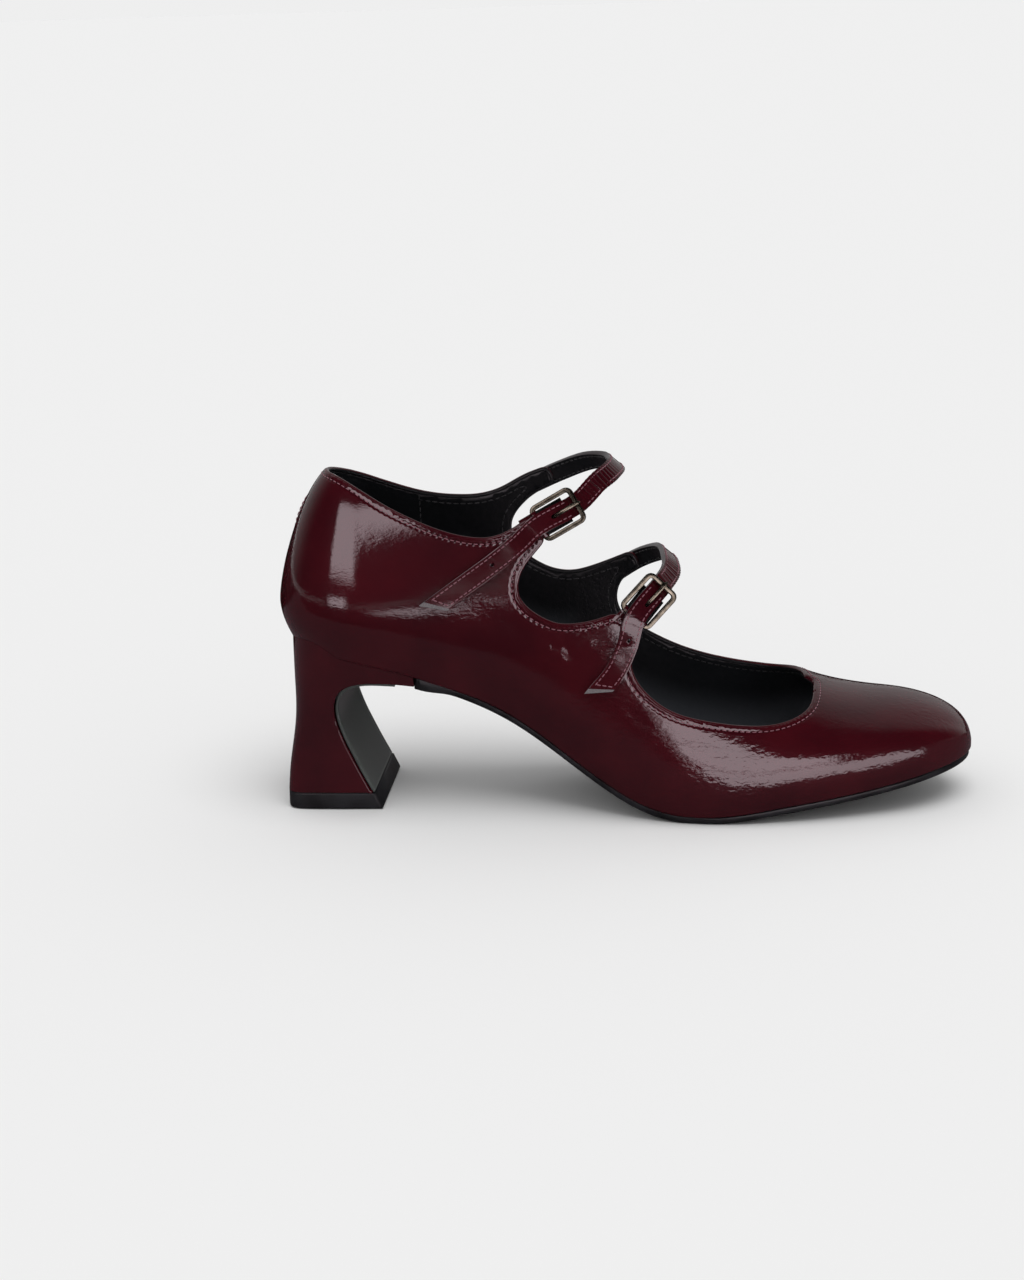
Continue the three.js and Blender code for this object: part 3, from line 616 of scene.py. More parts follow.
def crinkle_height(tree, size, strength):
    """Height in mm of the crinkle: 2 mm wrinkles over 1.4 mm pebbles and 0.6 mm pores."""
    place = add_node(tree, "TexCoord", {})
    # Wrinkles lie along the shoe, so the pattern is squeezed in height.
    squeezed = add_node(tree, "Mapping", {0: place.outputs["Object"], "Scale": (700, 1000, 1300)})
    waves = add_node(tree, "TexNoise", {
        "Vector": squeezed.outputs[0], "Scale": WRINKLES[0] / size, "Detail": 3.0, "Roughness": 0.5,
        "Distortion": 0.6})
    pebbles = add_node(tree, "TexVoronoi", {
        "Vector": squeezed.outputs[0], "Scale": PEBBLES[0] / size, "Smoothness": 0.6},
        feature="SMOOTH_F1")
    pores = add_node(tree, "TexNoise", {
        "Vector": squeezed.outputs[0], "Scale": PORES[0] / size, "Detail": 2.0, "Roughness": 0.5})
    swell = add_node(tree, "TexNoise", {
        "Vector": squeezed.outputs[0], "Scale": 0.075 / size, "Detail": 1.0})
    amount = add_node(tree, "MapRange", {
        "Value": swell.outputs[0], "From Min": 0.38, "From Max": 0.62, "To Min": 0.55, "To Max": 1.25})
    coarse = add_node(tree, "Math", {
        0: waves.outputs[0], 1: WRINKLES[1] * strength}, operation="MULTIPLY")
    cells = add_node(tree, "Math", {
        0: pebbles.outputs[0], 1: PEBBLES[1] * strength, 2: coarse.outputs[0]}, operation="MULTIPLY_ADD")
    # The quarters are pulled smooth over the heel stiffener; wrinkles gather from the instep on.
    parts = add_node(tree, "SeparateXYZ", {0: place.outputs["Object"]})
    gathered = add_node(tree, "MapRange", {
        "Value": parts.outputs["X"], "From Min": 0.075, "From Max": 0.115, "To Min": 0.3, "To Max": 1.0})
    spread = add_node(tree, "Math", {0: amount.outputs[0], 1: gathered.outputs[0]}, operation="MULTIPLY")
    varied = add_node(tree, "Math", {0: cells.outputs[0], 1: spread.outputs[0]}, operation="MULTIPLY")
    fine = add_node(tree, "Math", {
        0: pores.outputs[0], 1: PORES[1] * strength, 2: varied.outputs[0]}, operation="MULTIPLY_ADD")
    return fine.outputs[0]


def patent_leather(name, size=1.0, strength=1.0, sewn=False):
    """Crinkle patent leather, a poured polyurethane lacquer over dyed burgundy leather: nearly
    black wine colour, with a wet mirror gloss that breaks up into ragged ripples."""
    finish, tree, shader = new_finish(name, {
        "Roughness": 0.4, "IOR": 1.5, "Specular IOR Level": 0.08,
        "Coat Weight": 1.0, "Coat Roughness": 0.045, "Coat IOR": 1.55})
    place = add_node(tree, "TexCoord", {})
    clouds = add_node(tree, "TexNoise", {"Vector": place.outputs["Object"], "Scale": 38.0, "Detail": 3.0})
    dye = add_node(tree, "ValToRGB", {0: clouds.outputs[0]})
    dye.color_ramp.elements[0].position, dye.color_ramp.elements[1].position = 0.35, 0.7
    dye.color_ramp.elements[0].color = linear("#32030c")
    dye.color_ramp.elements[1].color = linear("#3f0610")
    height = crinkle_height(tree, size, strength)
    colour = dye.outputs[0]
    if sewn:
        edge = add_node(tree, "Attribute", {}, attribute_name="edge")
        run = add_node(tree, "Attribute", {}, attribute_name="run")
        beat = add_node(tree, "Math", {
            0: run.outputs["Fac"], 1: 2 * math.pi / STITCH_PITCH}, operation="MULTIPLY")
        scallop = add_node(tree, "Math", {0: beat.outputs[0]}, operation="SINE")
        line = add_node(tree, "Math", {
            0: scallop.outputs[0], 1: 0.12, 2: STITCH_MARGIN}, operation="MULTIPLY_ADD")
        off = add_node(tree, "Math", {0: edge.outputs["Fac"], 1: line.outputs[0]}, operation="SUBTRACT")
        away = add_node(tree, "Math", {0: off.outputs[0]}, operation="ABSOLUTE")
        # The seam pulls the leather down in a groove about 2 mm wide, between plump edges.
        groove = add_node(tree, "MapRange", {
            "Value": away.outputs[0], "From Min": 0.1, "From Max": 1.1, "To Min": -0.13, "To Max": 0.0},
            interpolation_type="SMOOTHSTEP")
        total = add_node(tree, "Math", {0: height, 1: groove.outputs[0]}, operation="ADD")
        height = total.outputs[0]
        # Painted shade: the colour darkens to #160104 along the stitch line, standing in for the shade in
        # the seam's groove.
        shade = add_node(tree, "MapRange", {
            "Value": away.outputs[0], "From Min": 0.0, "From Max": 0.6, "To Min": 0.45, "To Max": 1.0},
            interpolation_type="SMOOTHSTEP")
        painted_light_tone = add_node(tree, "Mix", {
            "Factor": shade.outputs[0], "A": linear("#160104"), "B": colour}, data_type="RGBA")
        colour = painted_light_tone.outputs[2]
    tree.links.new(colour, shader.inputs["Base Color"])
    relief = add_node(tree, "Bump", {"Height": height, "Distance": MM, "Strength": 1.0})
    tree.links.new(relief.outputs[0], shader.inputs["Normal"])
    tree.links.new(relief.outputs[0], shader.inputs["Coat Normal"])
    return finish


def ring_faces(count, sides, closed=False):
    """Faces between rings of points that follow each other; closed joins the last to the first."""
    faces = []
    for i in range(count if closed else count - 1):
        following = (i + 1) % count
        for j in range(sides):
            k = (j + 1) % sides
            faces.append((i * sides + j, i * sides + k, following * sides + k, following * sides + j))
    return faces


def sweep(points, outs, section, closed=False):
    """Tube with a section given as (out, aside) pairs along a line; outs face away from the foot."""
    points, outs = np.asarray(points, float), np.asarray(outs, float)
    if closed:
        run = np.roll(points, -1, 0) - np.roll(points, 1, 0)
    else:
        run = np.gradient(points, axis=0)
    run = unit(run)
    outs = unit(outs - np.sum(outs * run, 1, keepdims=True) * run)
    aside = np.cross(outs, run)
    rings = [points + a * outs + b * aside for a, b in section]
    table = np.stack(rings, 1).reshape(-1, 3)
    count, sides = len(points), len(section)
    faces = ring_faces(count, sides, closed)
    if not closed:
        faces += [tuple(range(sides))[::-1], tuple((count - 1) * sides + j for j in range(sides))]
    return table, faces


def oval(half_out, half_aside, sides=10):
    turns = [2 * math.pi * i / sides for i in range(sides)]
    return [(half_out * math.cos(t), half_aside * math.sin(t)) for t in turns]


def joined(parts):
    """Several (points, faces) as one."""
    tables, faces, start = [], [], 0
    for points, part_faces in parts:
        tables.append(points)
        faces += [tuple(i + start for i in face) for face in part_faces]
        start += len(points)
    return np.vstack(tables), faces


def stitches(points, outs, pitch=STITCH_PITCH, thread=THREAD, closed=False):
    """Lock stitches along a line: each a short thread that dips at both ends."""
    line, even = even_line(np.hstack([points, outs]), pitch, closed)
    count = len(line) if closed else len(line) - 1
    parts = []
    for i in range(count):
        a, b = line[i], line[(i + 1) % len(line)]
        shares = (0.12, 0.24, 0.5, 0.76, 0.88)
        swell = (0.35, 0.9, 1.0, 0.9, 0.35)
        place = np.array([a[POINT] * (1 - s) + b[POINT] * s for s in shares])
        out = unit(np.array([a[NORMAL] * (1 - s) + b[NORMAL] * s for s in shares]))
        place = place + out * (np.array([-0.16, 0.0, 0.05, 0.0, -0.16]) * thread / THREAD)[:, None]
        table, faces = sweep(place, out, oval(thread, thread, 6))
        rings = table.reshape(len(shares), 6, 3)
        rings = place[:, None, :] + (rings - place[:, None, :]) * np.array(swell)[:, None, None]
        parts.append((rings.reshape(-1, 3), faces))
    return joined(parts)


BACK_SEAM_DEPTH = 0.35
BACK_SEAM_ROW = 1.4              # from the back seam to the row of stitches on each side
SWELL = 0.03                     # height of the slow swells
FOLD_HEIGHT = 0.97               # half the folded edge's own thickness
FOLD_SIDES = 10

# Two halves of the upper share one grid, which is cut along the topline.
table, faces = lasted_sheet(280, 205)
table = measure_edge(table)
table, faces = weld(table, faces)
outer_side = (table[:, TURN] < 1).astype(float)
lift = sum(crease(table[:, POINT], outer_side, *row) for row in OUTER_CREASES)
# Where the two quarters meet, the back seam sinks between its two rows of stitches.
at_back = np.clip((12 - table[:, 0]) / 8, 0, 1) * (table[:, 2] < 123)
from_seam = np.abs(table[:, 1])
lift = lift - BACK_SEAM_DEPTH * at_back * np.exp(-(from_seam / 0.7) ** 2)
# Lasting leaves slow swells in the leather, about 30 mm long.
lift = lift + SWELL * np.sin(table[:, 0] / 5.1 + table[:, 2] / 7.0) * np.sin(table[:, 2] / 4.3 + 1.0)
table[:, POINT] += table[:, NORMAL] * lift[:, None]
upper_table, upper_faces, upper_cuts = trim(table, faces, table[:, EDGE] - FOLD)
burgundy_patent = patent_leather("burgundy_crinkle_patent", sewn=True)
plain_patent = patent_leather("burgundy_patent_plain", size=0.8, strength=0.6)
upper = make_piece("upper_leather", upper_table, upper_faces, [burgundy_patent],
                   {"edge": upper_table[:, EDGE], "run": upper_table[:, RUN]})
thicken(upper, LEATHER, -1.0)
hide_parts("upper")

edge_lines = end_to_end([upper_table[chain] for chain in chains(upper_cuts)])
edge_lines = [line for line in edge_lines if len(line) > 60]
fold_parts, fold_inner = [], []
for line in edge_lines:
    smooth_edge, _ = even_line(line[:, :6], 0.6)
    for _ in range(4):
        smooth_edge[1:-1] = (smooth_edge[:-2] + 2 * smooth_edge[1:-1] + smooth_edge[2:]) / 4
    out = unit(smooth_edge[:, NORMAL])
    fold_centre = smooth_edge[:, POINT] - FOLD_HEIGHT * out
    fold_parts.append(sweep(fold_centre, out, oval(FOLD_HEIGHT, FOLD, FOLD_SIDES)))
    # The lining's skin shows on the faces of the fold that look at the foot.
    ring = [int(3 <= j <= 6) for j in range(FOLD_SIDES)]
    fold_inner += ring * (len(smooth_edge) - 1) + [0, 0]

# Sewing thread: bonded burgundy polyester, waxed to a low sheen, coloured pale pink as a painted highlight.
thread_painted_highlight, tree, shader = new_finish("burgundy_thread_painted_highlight", {
    "Base Color": linear("#85545f"), "Roughness": 0.45, "Sheen Weight": 0.2})
twist_place = add_node(tree, "TexCoord", {})
twist = add_node(tree, "TexWave", {
    "Vector": twist_place.outputs["Object"], "Scale": 900.0, "Distortion": 1.0}, bands_direction="DIAGONAL")
twist_relief = add_node(tree, "Bump", {"Height": twist.outputs[0], "Distance": 0.06 * MM, "Strength": 0.8})
tree.links.new(twist_relief.outputs[0], shader.inputs["Normal"])

sewn_table, _, sewn_cuts = trim(upper_table, upper_faces, upper_table[:, EDGE] - STITCH_MARGIN)
sewn_rows = [stitches(line[:, POINT], line[:, NORMAL])
             for line in end_to_end([sewn_table[chain] for chain in chains(sewn_cuts)]) if len(line) > 60]
for aside in (-BACK_SEAM_ROW, BACK_SEAM_ROW):
    heights = np.linspace(63, 115, 60)
    back_rows = []
    for height in heights:
        near = upper_table[(np.abs(upper_table[:, 2] - height) < 1.5) & (upper_table[:, 0] < 16)]
        best = near[np.argmin(np.abs(near[:, 1] - aside))]
        back_rows.append(np.concatenate([best[:1], [aside], [height], best[NORMAL]]))
    back_rows = np.array(back_rows)
    for _ in range(6):
        back_rows[1:-1] = (back_rows[:-2] + 2 * back_rows[1:-1] + back_rows[2:]) / 4
    sunk = back_rows[:, POINT] - THREAD / 2 * back_rows[:, NORMAL]
    sewn_rows.append(stitches(sunk, back_rows[:, NORMAL]))
topline_stitches = make_piece("topline_stitches", *joined(sewn_rows), [thread_painted_highlight])

# ---- Lining: black pigskin behind the leather, glued in and sewn along the topline ----
# It is 0.7 mm thick and closes just under the folded edge. A separate grip of the same skin,
# suede side out, covers the inside of the heel, and its front edge is a sewn seam.

LINING = 0.7
LINING_EDGE = 1.1                # from the topline down to the lining's own edge
LINING_SEAM = 3.4                # from the topline down to the lining's row of stitches
LINING_PITCH = 2.6
GRIP_STATION = 46.0
GRIP_STEP = 0.3


def pigskin(name, colour, roughness, shade="#0c0c0e", painted_light_tone=None):
    """Black pigskin lining: drum-dyed, with pores about 1 mm apart and a dull soft gloss. Where
    painted_light_tone is given, the skin below the collar takes that lighter colour, partly as polished skin
    and partly as a painted sheen of light from above."""
    finish, tree, shader = new_finish(name, {
        "Roughness": roughness, "IOR": 1.5, "Specular IOR Level": 0.35})
    place = add_node(tree, "TexCoord", {})
    skin = add_node(tree, "Mapping", {0: place.outputs["Object"], "Scale": (1000, 1000, 1000)})
    pores = add_node(tree, "TexVoronoi", {"Vector": skin.outputs[0], "Scale": 0.9, "Randomness": 0.9})
    pits = add_node(tree, "MapRange", {
        "Value": pores.outputs[0], "From Min": 0.05, "From Max": 0.4, "To Min": -0.05, "To Max": 0.0})
    grain = add_node(tree, "TexNoise", {"Vector": skin.outputs[0], "Scale": 0.7, "Detail": 4.0})
    height = add_node(tree, "Math", {
        0: grain.outputs[0], 1: 0.12, 2: pits.outputs[0]}, operation="MULTIPLY_ADD")
    patches = add_node(tree, "TexNoise", {"Vector": skin.outputs[0], "Scale": 0.05, "Detail": 3.0})
    dye = add_node(tree, "ValToRGB", {0: patches.outputs[0]})
    dye.color_ramp.elements[0].position, dye.color_ramp.elements[1].position = 0.3, 0.72
    dye.color_ramp.elements[0].color = linear(shade)
    dye.color_ramp.elements[1].color = linear(colour)
    tone = dye.outputs[0]
    if painted_light_tone:
        # The lighter tone, partly polish and partly painted sheen, starts 13 mm down from the topline and is
        # whole at 32 mm.
        edge = add_node(tree, "Attribute", {}, attribute_name="edge")
        below = add_node(tree, "MapRange", {
            "Value": edge.outputs["Fac"], "From Min": 13.0, "From Max": 32.0},
            interpolation_type="SMOOTHSTEP")
        polish_and_sheen = add_node(tree, "Mix", {
            "Factor": below.outputs[0], "A": tone, "B": linear(painted_light_tone)}, data_type="RGBA")
        tone = polish_and_sheen.outputs[2]
    tree.links.new(tone, shader.inputs["Base Color"])
    relief = add_node(tree, "Bump", {"Height": height.outputs[0], "Distance": MM, "Strength": 0.8})
    tree.links.new(relief.outputs[0], shader.inputs["Normal"])
    return finish


black_pigskin = pigskin("black_pigskin", "#101012", 0.42)
folded_edge = make_piece("folded_topline", *joined(fold_parts), [plain_patent, black_pigskin],
                         face_finish=fold_inner)
# The lower lining is painted a lighter grey, partly polished skin and partly painted sheen.
pigskin_painted_sheen = pigskin("black_pigskin_painted_sheen", "#101012", 0.36, painted_light_tone="#4c4e53")
lining_table, lining_faces = lasted_sheet(190, 141)
lining_table = measure_edge(lining_table)
lining_table, lining_faces = weld(lining_table, lining_faces)
lining_table, lining_faces, _ = trim(lining_table, lining_faces, lining_table[:, EDGE] - LINING_EDGE)
# The grip ends in a low step, as one skin laps over the next.
step = GRIP_STEP * ease((GRIP_STATION + 2 - lining_table[:, STATION]) / 1.5)
lining_points = lining_table[:, POINT] - lining_table[:, NORMAL] * (WALL - 0.05 + step)[:, None]
lining = make_piece("upper_lining", lining_points, [face[::-1] for face in lining_faces],
                    [pigskin_painted_sheen], {"edge": lining_table[:, EDGE]})
thicken(lining, LINING, -1.0)

# Black thread round the lining's edge tape and up the front of the heel grip.
black_thread, tree, shader = new_finish("black_bonded_thread", {
    "Base Color": linear("#161618"), "Roughness": 0.5, "Sheen Weight": 0.3})
inside_rows = []
for distance, depth, shortest in ((lining_table[:, EDGE] - LINING_SEAM, WALL + 0.02, 60),
                                  (lining_table[:, STATION] - GRIP_STATION, WALL + GRIP_STEP, 12)):
    seam_table, _, seam_cuts = trim(lining_table, lining_faces, distance)
    for row in end_to_end([seam_table[chain] for chain in chains(seam_cuts)]):
        if len(row) > shortest:
            inside_rows.append(stitches(
                row[:, POINT] - row[:, NORMAL] * depth, -row[:, NORMAL], pitch=LINING_PITCH))
lining_stitches = make_piece("lining_stitches", *joined(inside_rows), [black_thread])

# ---- Insole: a padded sock of black sheepskin over the insole board ----
# It is 2.2 mm thick with the board, lies on the feather line from heel to toe, and its edge is
# turned under all round.

INSOLE = 2.2
INSOLE_INSET = WALL + 0.3


def lofted_sheet(stations, edge_of, bottom_of, top_of, corner, across=17):
    """A flat layer of the shoe: rings from side to side at each station, with rounded edges."""
    rings = []
    for station in stations:
        (x, left), (_, right) = edge_of(station, -1), edge_of(station, 1)
        low, high = bottom_of(station), top_of(station)
        middle, half = (left + right) / 2, max((right - left) / 2, 0.02)
        c = min(corner, (high - low) / 2.01, half * 0.45)
        shares = np.linspace(-1, 1, across)
        ring = [(middle + s * (half - c), high) for s in shares]
        ring += [(middle + half - c + c * math.sin(t), high - c + c * math.cos(t)) for t in (0.5, 1.0, 1.5)]
        ring += [(middle + half - c + c * math.cos(t), low + c - c * math.sin(t))
                 for t in (0.07, 0.57, 1.07)]
        ring += [(middle - s * (half - c), low) for s in shares]
        ring += [(middle - half + c - c * math.sin(t), low + c - c * math.cos(t)) for t in (0.5, 1.0, 1.5)]
        ring += [(middle - half + c - c * math.cos(t), high - c + c * math.sin(t))
                 for t in (0.07, 0.57, 1.07)]
        rings.append([(x, y, z) for y, z in ring])
    rings = np.array(rings)
    sides = rings.shape[1]
    faces = ring_faces(len(rings), sides)
    faces += [tuple(range(sides))[::-1], tuple((len(rings) - 1) * sides + j for j in range(sides))]
    return rings.reshape(-1, 3), [face[::-1] for face in faces]


def feather_edge(station, side, inset):
    return last_point(station, 0.0 if side < 0 else 2.0, inset)[:2]


# Painted sheen: the black sheepskin is coloured a pale grey, standing in for the light and satin sheen on
# it.
sheepskin_painted_sheen = pigskin("black_sheepskin_painted_sheen", "#8b9098", 0.36, shade="#33363b")
end_gap = INSOLE_INSET + 0.2
insole_stations = BACK + end_gap + (TIP - BACK - 2 * end_gap) * (
    1 - np.cos(np.pi * np.linspace(0, 1, 120))) / 2
insole = make_piece("insole_sock", *lofted_sheet(
    insole_stations, lambda s, side: feather_edge(s, side, INSOLE_INSET),
    lambda s: float(feather_height(s)), lambda s: float(feather_height(s)) + INSOLE, 0.9),
    [sheepskin_painted_sheen])
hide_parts("insole")

# ---- Outsole: a thin black rubber sole, glued on under the feather line ----
# Moulded nitrile rubber 2.5 mm thick, buffed round the edge. It lies flat under the ball,
# curls up at the toe, and ends at the front lip of the heel.

SOLE = 2.5
SOLE_START = 47.5
SOLE_INSET = 0.7
LIP_SWELL, LIP_RUN = 2.0, 16.0   # how much thicker the sole is at the heel's lip, and over what length


def black_rubber(name, colour, roughness):
    """Moulded rubber: near black, matt, with a 0.7 mm orange-peel and scuffed grey patches."""
    finish, tree, shader = new_finish(name, {
        "IOR": 1.52, "Specular IOR Level": 0.4})
    place = add_node(tree, "TexCoord", {})
    peel = add_node(tree, "TexNoise", {"Vector": place.outputs["Object"], "Scale": 1400.0, "Detail": 3.0})
    scuffs = add_node(tree, "TexNoise", {"Vector": place.outputs["Object"], "Scale": 90.0, "Detail": 5.0})
    dye = add_node(tree, "ValToRGB", {0: scuffs.outputs[0]})
    dye.color_ramp.elements[0].position, dye.color_ramp.elements[1].position = 0.35, 0.75
    dye.color_ramp.elements[0].color = linear("#0f0f11")
    dye.color_ramp.elements[1].color = linear(colour)
    dull = add_node(tree, "MapRange", {
        "Value": scuffs.outputs[0], "From Min": 0.3, "From Max": 0.7,
        "To Min": roughness - 0.08, "To Max": roughness + 0.08})
    relief = add_node(tree, "Bump", {"Height": peel.outputs[0], "Distance": 0.05 * MM, "Strength": 0.7})
    tree.links.new(dye.outputs[0], shader.inputs["Base Color"])
    tree.links.new(dull.outputs[0], shader.inputs["Roughness"])
    tree.links.new(relief.outputs[0], shader.inputs["Normal"])
    return finish


nitrile_rubber = black_rubber("black_nitrile_rubber", "#222226", 0.34)


def outsole_edge(station, side):
    return feather_edge(station, side, SOLE_INSET + 1.6 * float(ease((85 - station) / 35)))


def outsole_top(station):
    return max(float(feather_height(station)) - 0.3, SOLE)


def outsole_bottom(station):
    """The sole thickens into the heel's front lip, so that the two run on in one line."""
    return outsole_top(station) - SOLE - LIP_SWELL * float(ease((SOLE_START + LIP_RUN - station) / LIP_RUN))


sole_stations = SOLE_START + (TIP - SOLE_INSET - 0.2 - SOLE_START) * np.sin(
    np.pi / 2 * np.linspace(0, 1, 150))
outsole = make_piece("outsole_rubber", *lofted_sheet(
    sole_stations, outsole_edge, outsole_bottom, outsole_top, 0.55),
    [nitrile_rubber])
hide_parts("outsole")

# ---- Heel: a moulded ABS block wrapped in the same patent leather ----
# It stands 60 mm high, round under the heel cup and squared off towards the ground. The wrap
# is glued on, turned over the breast's edges and trimmed off at the top piece.

# Rows of height, and at it the back's station, the half-width and the squareness of the plan.
HEEL_LEVELS = np.array([(6.3, -1.2, 22.8, 8.0), (14, -0.6, 22.5, 7.0), (30, 1.4, 22.7, 4.0),
                        (46, 1.5, 24.2, 2.8), (64, 1.2, 25.6, 2.2)])
HEEL_ROUND = 20.0                # station that the back is rounded from
HEEL_FRONT = 49.5
HEEL_FOOT = 6.3
WRAP_EDGE = 0.7
PANEL = 1.0
BREAST = [(31.6, 6.3), (26.8, 16), (21.6, 28), (19.4, 37), (21.4, 43.6), (28, 46.2), (38, 46.2),
          (47.2, 45.2)]
HEEL_RIM = 70.0                  # the sides run up until they meet the heel cup
HEEL_TOP = HEEL_LEVELS[-1, 0]
heel_back, heel_half, heel_plan = [
    lambda z, level=natural_spline(HEEL_LEVELS[:, 0], HEEL_LEVELS[:, k]): level(np.minimum(z, HEEL_TOP))
    for k in (1, 2, 3)]


def heel_side(station, z):
    """Half-width of the heel where its side is straight."""
    return heel_half(z) - np.clip((station - HEEL_ROUND) / (HEEL_FRONT - HEEL_ROUND), 0, 1)


def heel_outline(z, angles, front_steps, inset=0.0, front=HEEL_FRONT):
    """Plan outline at one height, from the outer front round the back to the inner front."""
    back, half, plan = heel_back(z) + inset, heel_half(z) - inset, heel_plan(z)
    ahead = np.linspace(front, HEEL_ROUND, front_steps)[:-1]
    y = half - (ahead - HEEL_ROUND) / (HEEL_FRONT - HEEL_ROUND)
    reach = np.cos(angles) ** (2 / plan)
    aside = np.sign(angles) * np.abs(np.sin(angles)) ** (2 / plan)
    return np.vstack([
        np.stack([ahead, -y], 1),
        np.stack([HEEL_ROUND - (HEEL_ROUND - back) * reach, half * aside], 1),
        np.stack([ahead, y], 1)[::-1],
    ])


def breast_line(forward, pieces=90):
    line = flowing_line(BREAST, pieces)
    run = unit(np.gradient(line, axis=0))
    moved = line + forward * np.stack([run[:, 1], -run[:, 0]], 1)
    moved[:, 1] = np.maximum(moved[:, 1], HEEL_FOOT)
    return moved


# Even steps of arc round the corners of the superellipse.
even_turn = np.linspace(-1, 1, 121)
heel_angles = np.sign(even_turn) * np.abs(even_turn) ** 1.6 * np.pi / 2 * 0.9999
heel_heights = np.linspace(HEEL_FOOT, HEEL_RIM, 108)
heel_grid = []
for z in heel_heights:
    outline = heel_outline(z, heel_angles, 40)
    heel_grid.append(np.column_stack([outline, np.full(len(outline), z)]))
heel_grid = np.array(heel_grid)
wrap_back = breast_line(-(PANEL + 0.3))
above_rim = HEEL_RIM + 9
heel_profile = np.vstack([
    [(BACK - 4, HEEL_FOOT)], wrap_back, [(BREAST[-1][0], above_rim), (BACK - 4, above_rim)]])
heel_table = heel_grid.reshape(-1, 3)
behind_breast = -outline_distance(heel_table[:, 0], heel_table[:, 2], heel_profile)
off_breast = np.array([np.min(np.linalg.norm(wrap_back - p, axis=1)) for p in heel_table[:, [0, 2]]])
seat_height = feather_height(np.clip(heel_table[:, 0], BACK, 60)) + 0.5
# The block's top is dished to cradle the cup, so its sides end where they meet the leather.
cup = upper_table[upper_table[:, 0] < 60]
cup_tree = kdtree.KDTree(len(cup))
for i, row in enumerate(cup):
    cup_tree.insert(row[POINT], i)
cup_tree.balance()
below_cup = []
for point in heel_table:
    nearest = cup[cup_tree.find(point)[1]]
    below_cup.append(np.dot(point - nearest[POINT], nearest[NORMAL]) - 0.05)
keep = np.maximum(seat_height - heel_table[:, 2], np.minimum(below_cup, HEEL_RIM - heel_table[:, 2]))
rounded_off = np.minimum(behind_breast, off_breast - WRAP_EDGE)
behind_breast = np.where(heel_table[:, 0] > 10, rounded_off, behind_breast)
at_foot = (heel_table[:, 2] <= HEEL_FOOT + 0.01) & (heel_table[:, 0] < wrap_back[0][0])
behind_breast = np.where(at_foot, np.maximum(behind_breast, 0), behind_breast)
keep = np.minimum(keep, behind_breast)
heel_table, heel_faces, _ = trim(heel_table, grid_faces(len(heel_heights), heel_grid.shape[1]), keep)
heel_parts = [(heel_table, [face[::-1] for face in heel_faces])]

# The wrap turns over both edges of the breast and covers it behind the panel.
breast_rows = []
for x, z in wrap_back:
    half = float(heel_side(x, z)) - WRAP_EDGE
    breast_rows.append([(x, s * half, z) for s in np.linspace(-1, 1, 15)])
breast_rows = np.array(breast_rows)
heel_parts.append((breast_rows.reshape(-1, 3), grid_faces(len(breast_rows), 15)))
run = unit(np.gradient(wrap_back, axis=0))
inward = np.stack([-run[:, 1], run[:, 0]], 1)
for side in (-1, 1):
    centre = wrap_back + inward * WRAP_EDGE
    y = side * (heel_side(centre[:, 0], centre[:, 1]) - WRAP_EDGE)
    line = np.column_stack([centre[:, 0], y, centre[:, 1]])
    line[:, 2] = np.maximum(line[:, 2], HEEL_FOOT)
    outs = np.tile([0.0, side, 0.0], (len(line), 1))
    heel_parts.append(sweep(line, outs, oval(WRAP_EDGE, WRAP_EDGE, 12)))
foot_outline = heel_outline(HEEL_FOOT, heel_angles, 40)
foot_outline = foot_outline[foot_outline[:, 0] < wrap_back[0][0] + 0.2]
heel_parts.append((np.column_stack([foot_outline, np.full(len(foot_outline), HEEL_FOOT)]),
                   [tuple(range(len(foot_outline)))]))
heel_points, heel_all_faces = joined(heel_parts)
heel_wrap = make_piece("heel_wrap", heel_points, heel_all_faces,
                       [patent_leather("burgundy_heel_patent", size=0.9, strength=0.45)])
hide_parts("heel")

# ---- Breast panel: a dark grey plate over the front of the heel ----
# Brushed ABS sheet 1 mm thick, bent to the breast's curve and glued on 1.2 mm inside the edges
# of the wrap. It covers the place where the wrap's two ends meet.

PANEL_INSET = 1.2
panel_line = breast_line(-PANEL / 2)[:-10]
panel_half = heel_half(30.0) - PANEL_INSET
panel_rows = np.array([[(x, y, z) for y in np.linspace(-panel_half, panel_half, 13)]
                       for x, z in panel_line])
grey_abs, tree, shader = new_finish("grey_brushed_abs", {
    "IOR": 1.53, "Specular IOR Level": 0.5, "Coat Weight": 0.3, "Coat Roughness": 0.2})
place = add_node(tree, "TexCoord", {})
# Brushing runs up the plate: lines 0.3 mm apart and about 17 mm long.
brushed = add_node(tree, "Mapping", {0: place.outputs["Object"], "Scale": (60, 3300, 60)})
lines = add_node(tree, "TexNoise", {"Vector": brushed.outputs[0], "Scale": 1.0, "Detail": 3.0})
tone = add_node(tree, "ValToRGB", {0: lines.outputs[0]})
tone.color_ramp.elements[0].position, tone.color_ramp.elements[1].position = 0.3, 0.7
tone.color_ramp.elements[0].color = linear("#383d3b")
tone.color_ramp.elements[1].color = linear("#4c524f")
gloss = add_node(tree, "MapRange", {"Value": lines.outputs[0], "To Min": 0.3, "To Max": 0.46})
relief = add_node(tree, "Bump", {"Height": lines.outputs[0], "Distance": 0.03 * MM, "Strength": 0.6})
tree.links.new(tone.outputs[0], shader.inputs["Base Color"])
tree.links.new(gloss.outputs[0], shader.inputs["Roughness"])
tree.links.new(relief.outputs[0], shader.inputs["Normal"])
panel = make_piece("breast_panel", panel_rows.reshape(-1, 3), grid_faces(len(panel_rows), 13), [grey_abs])
thicken(panel, PANEL, 0.0)
rounded = panel.modifiers.new("edges", "BEVEL")
rounded.width, rounded.segments, rounded.limit_method = 0.25 * MM, 2, "ANGLE"
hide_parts("heel_breast_panel")

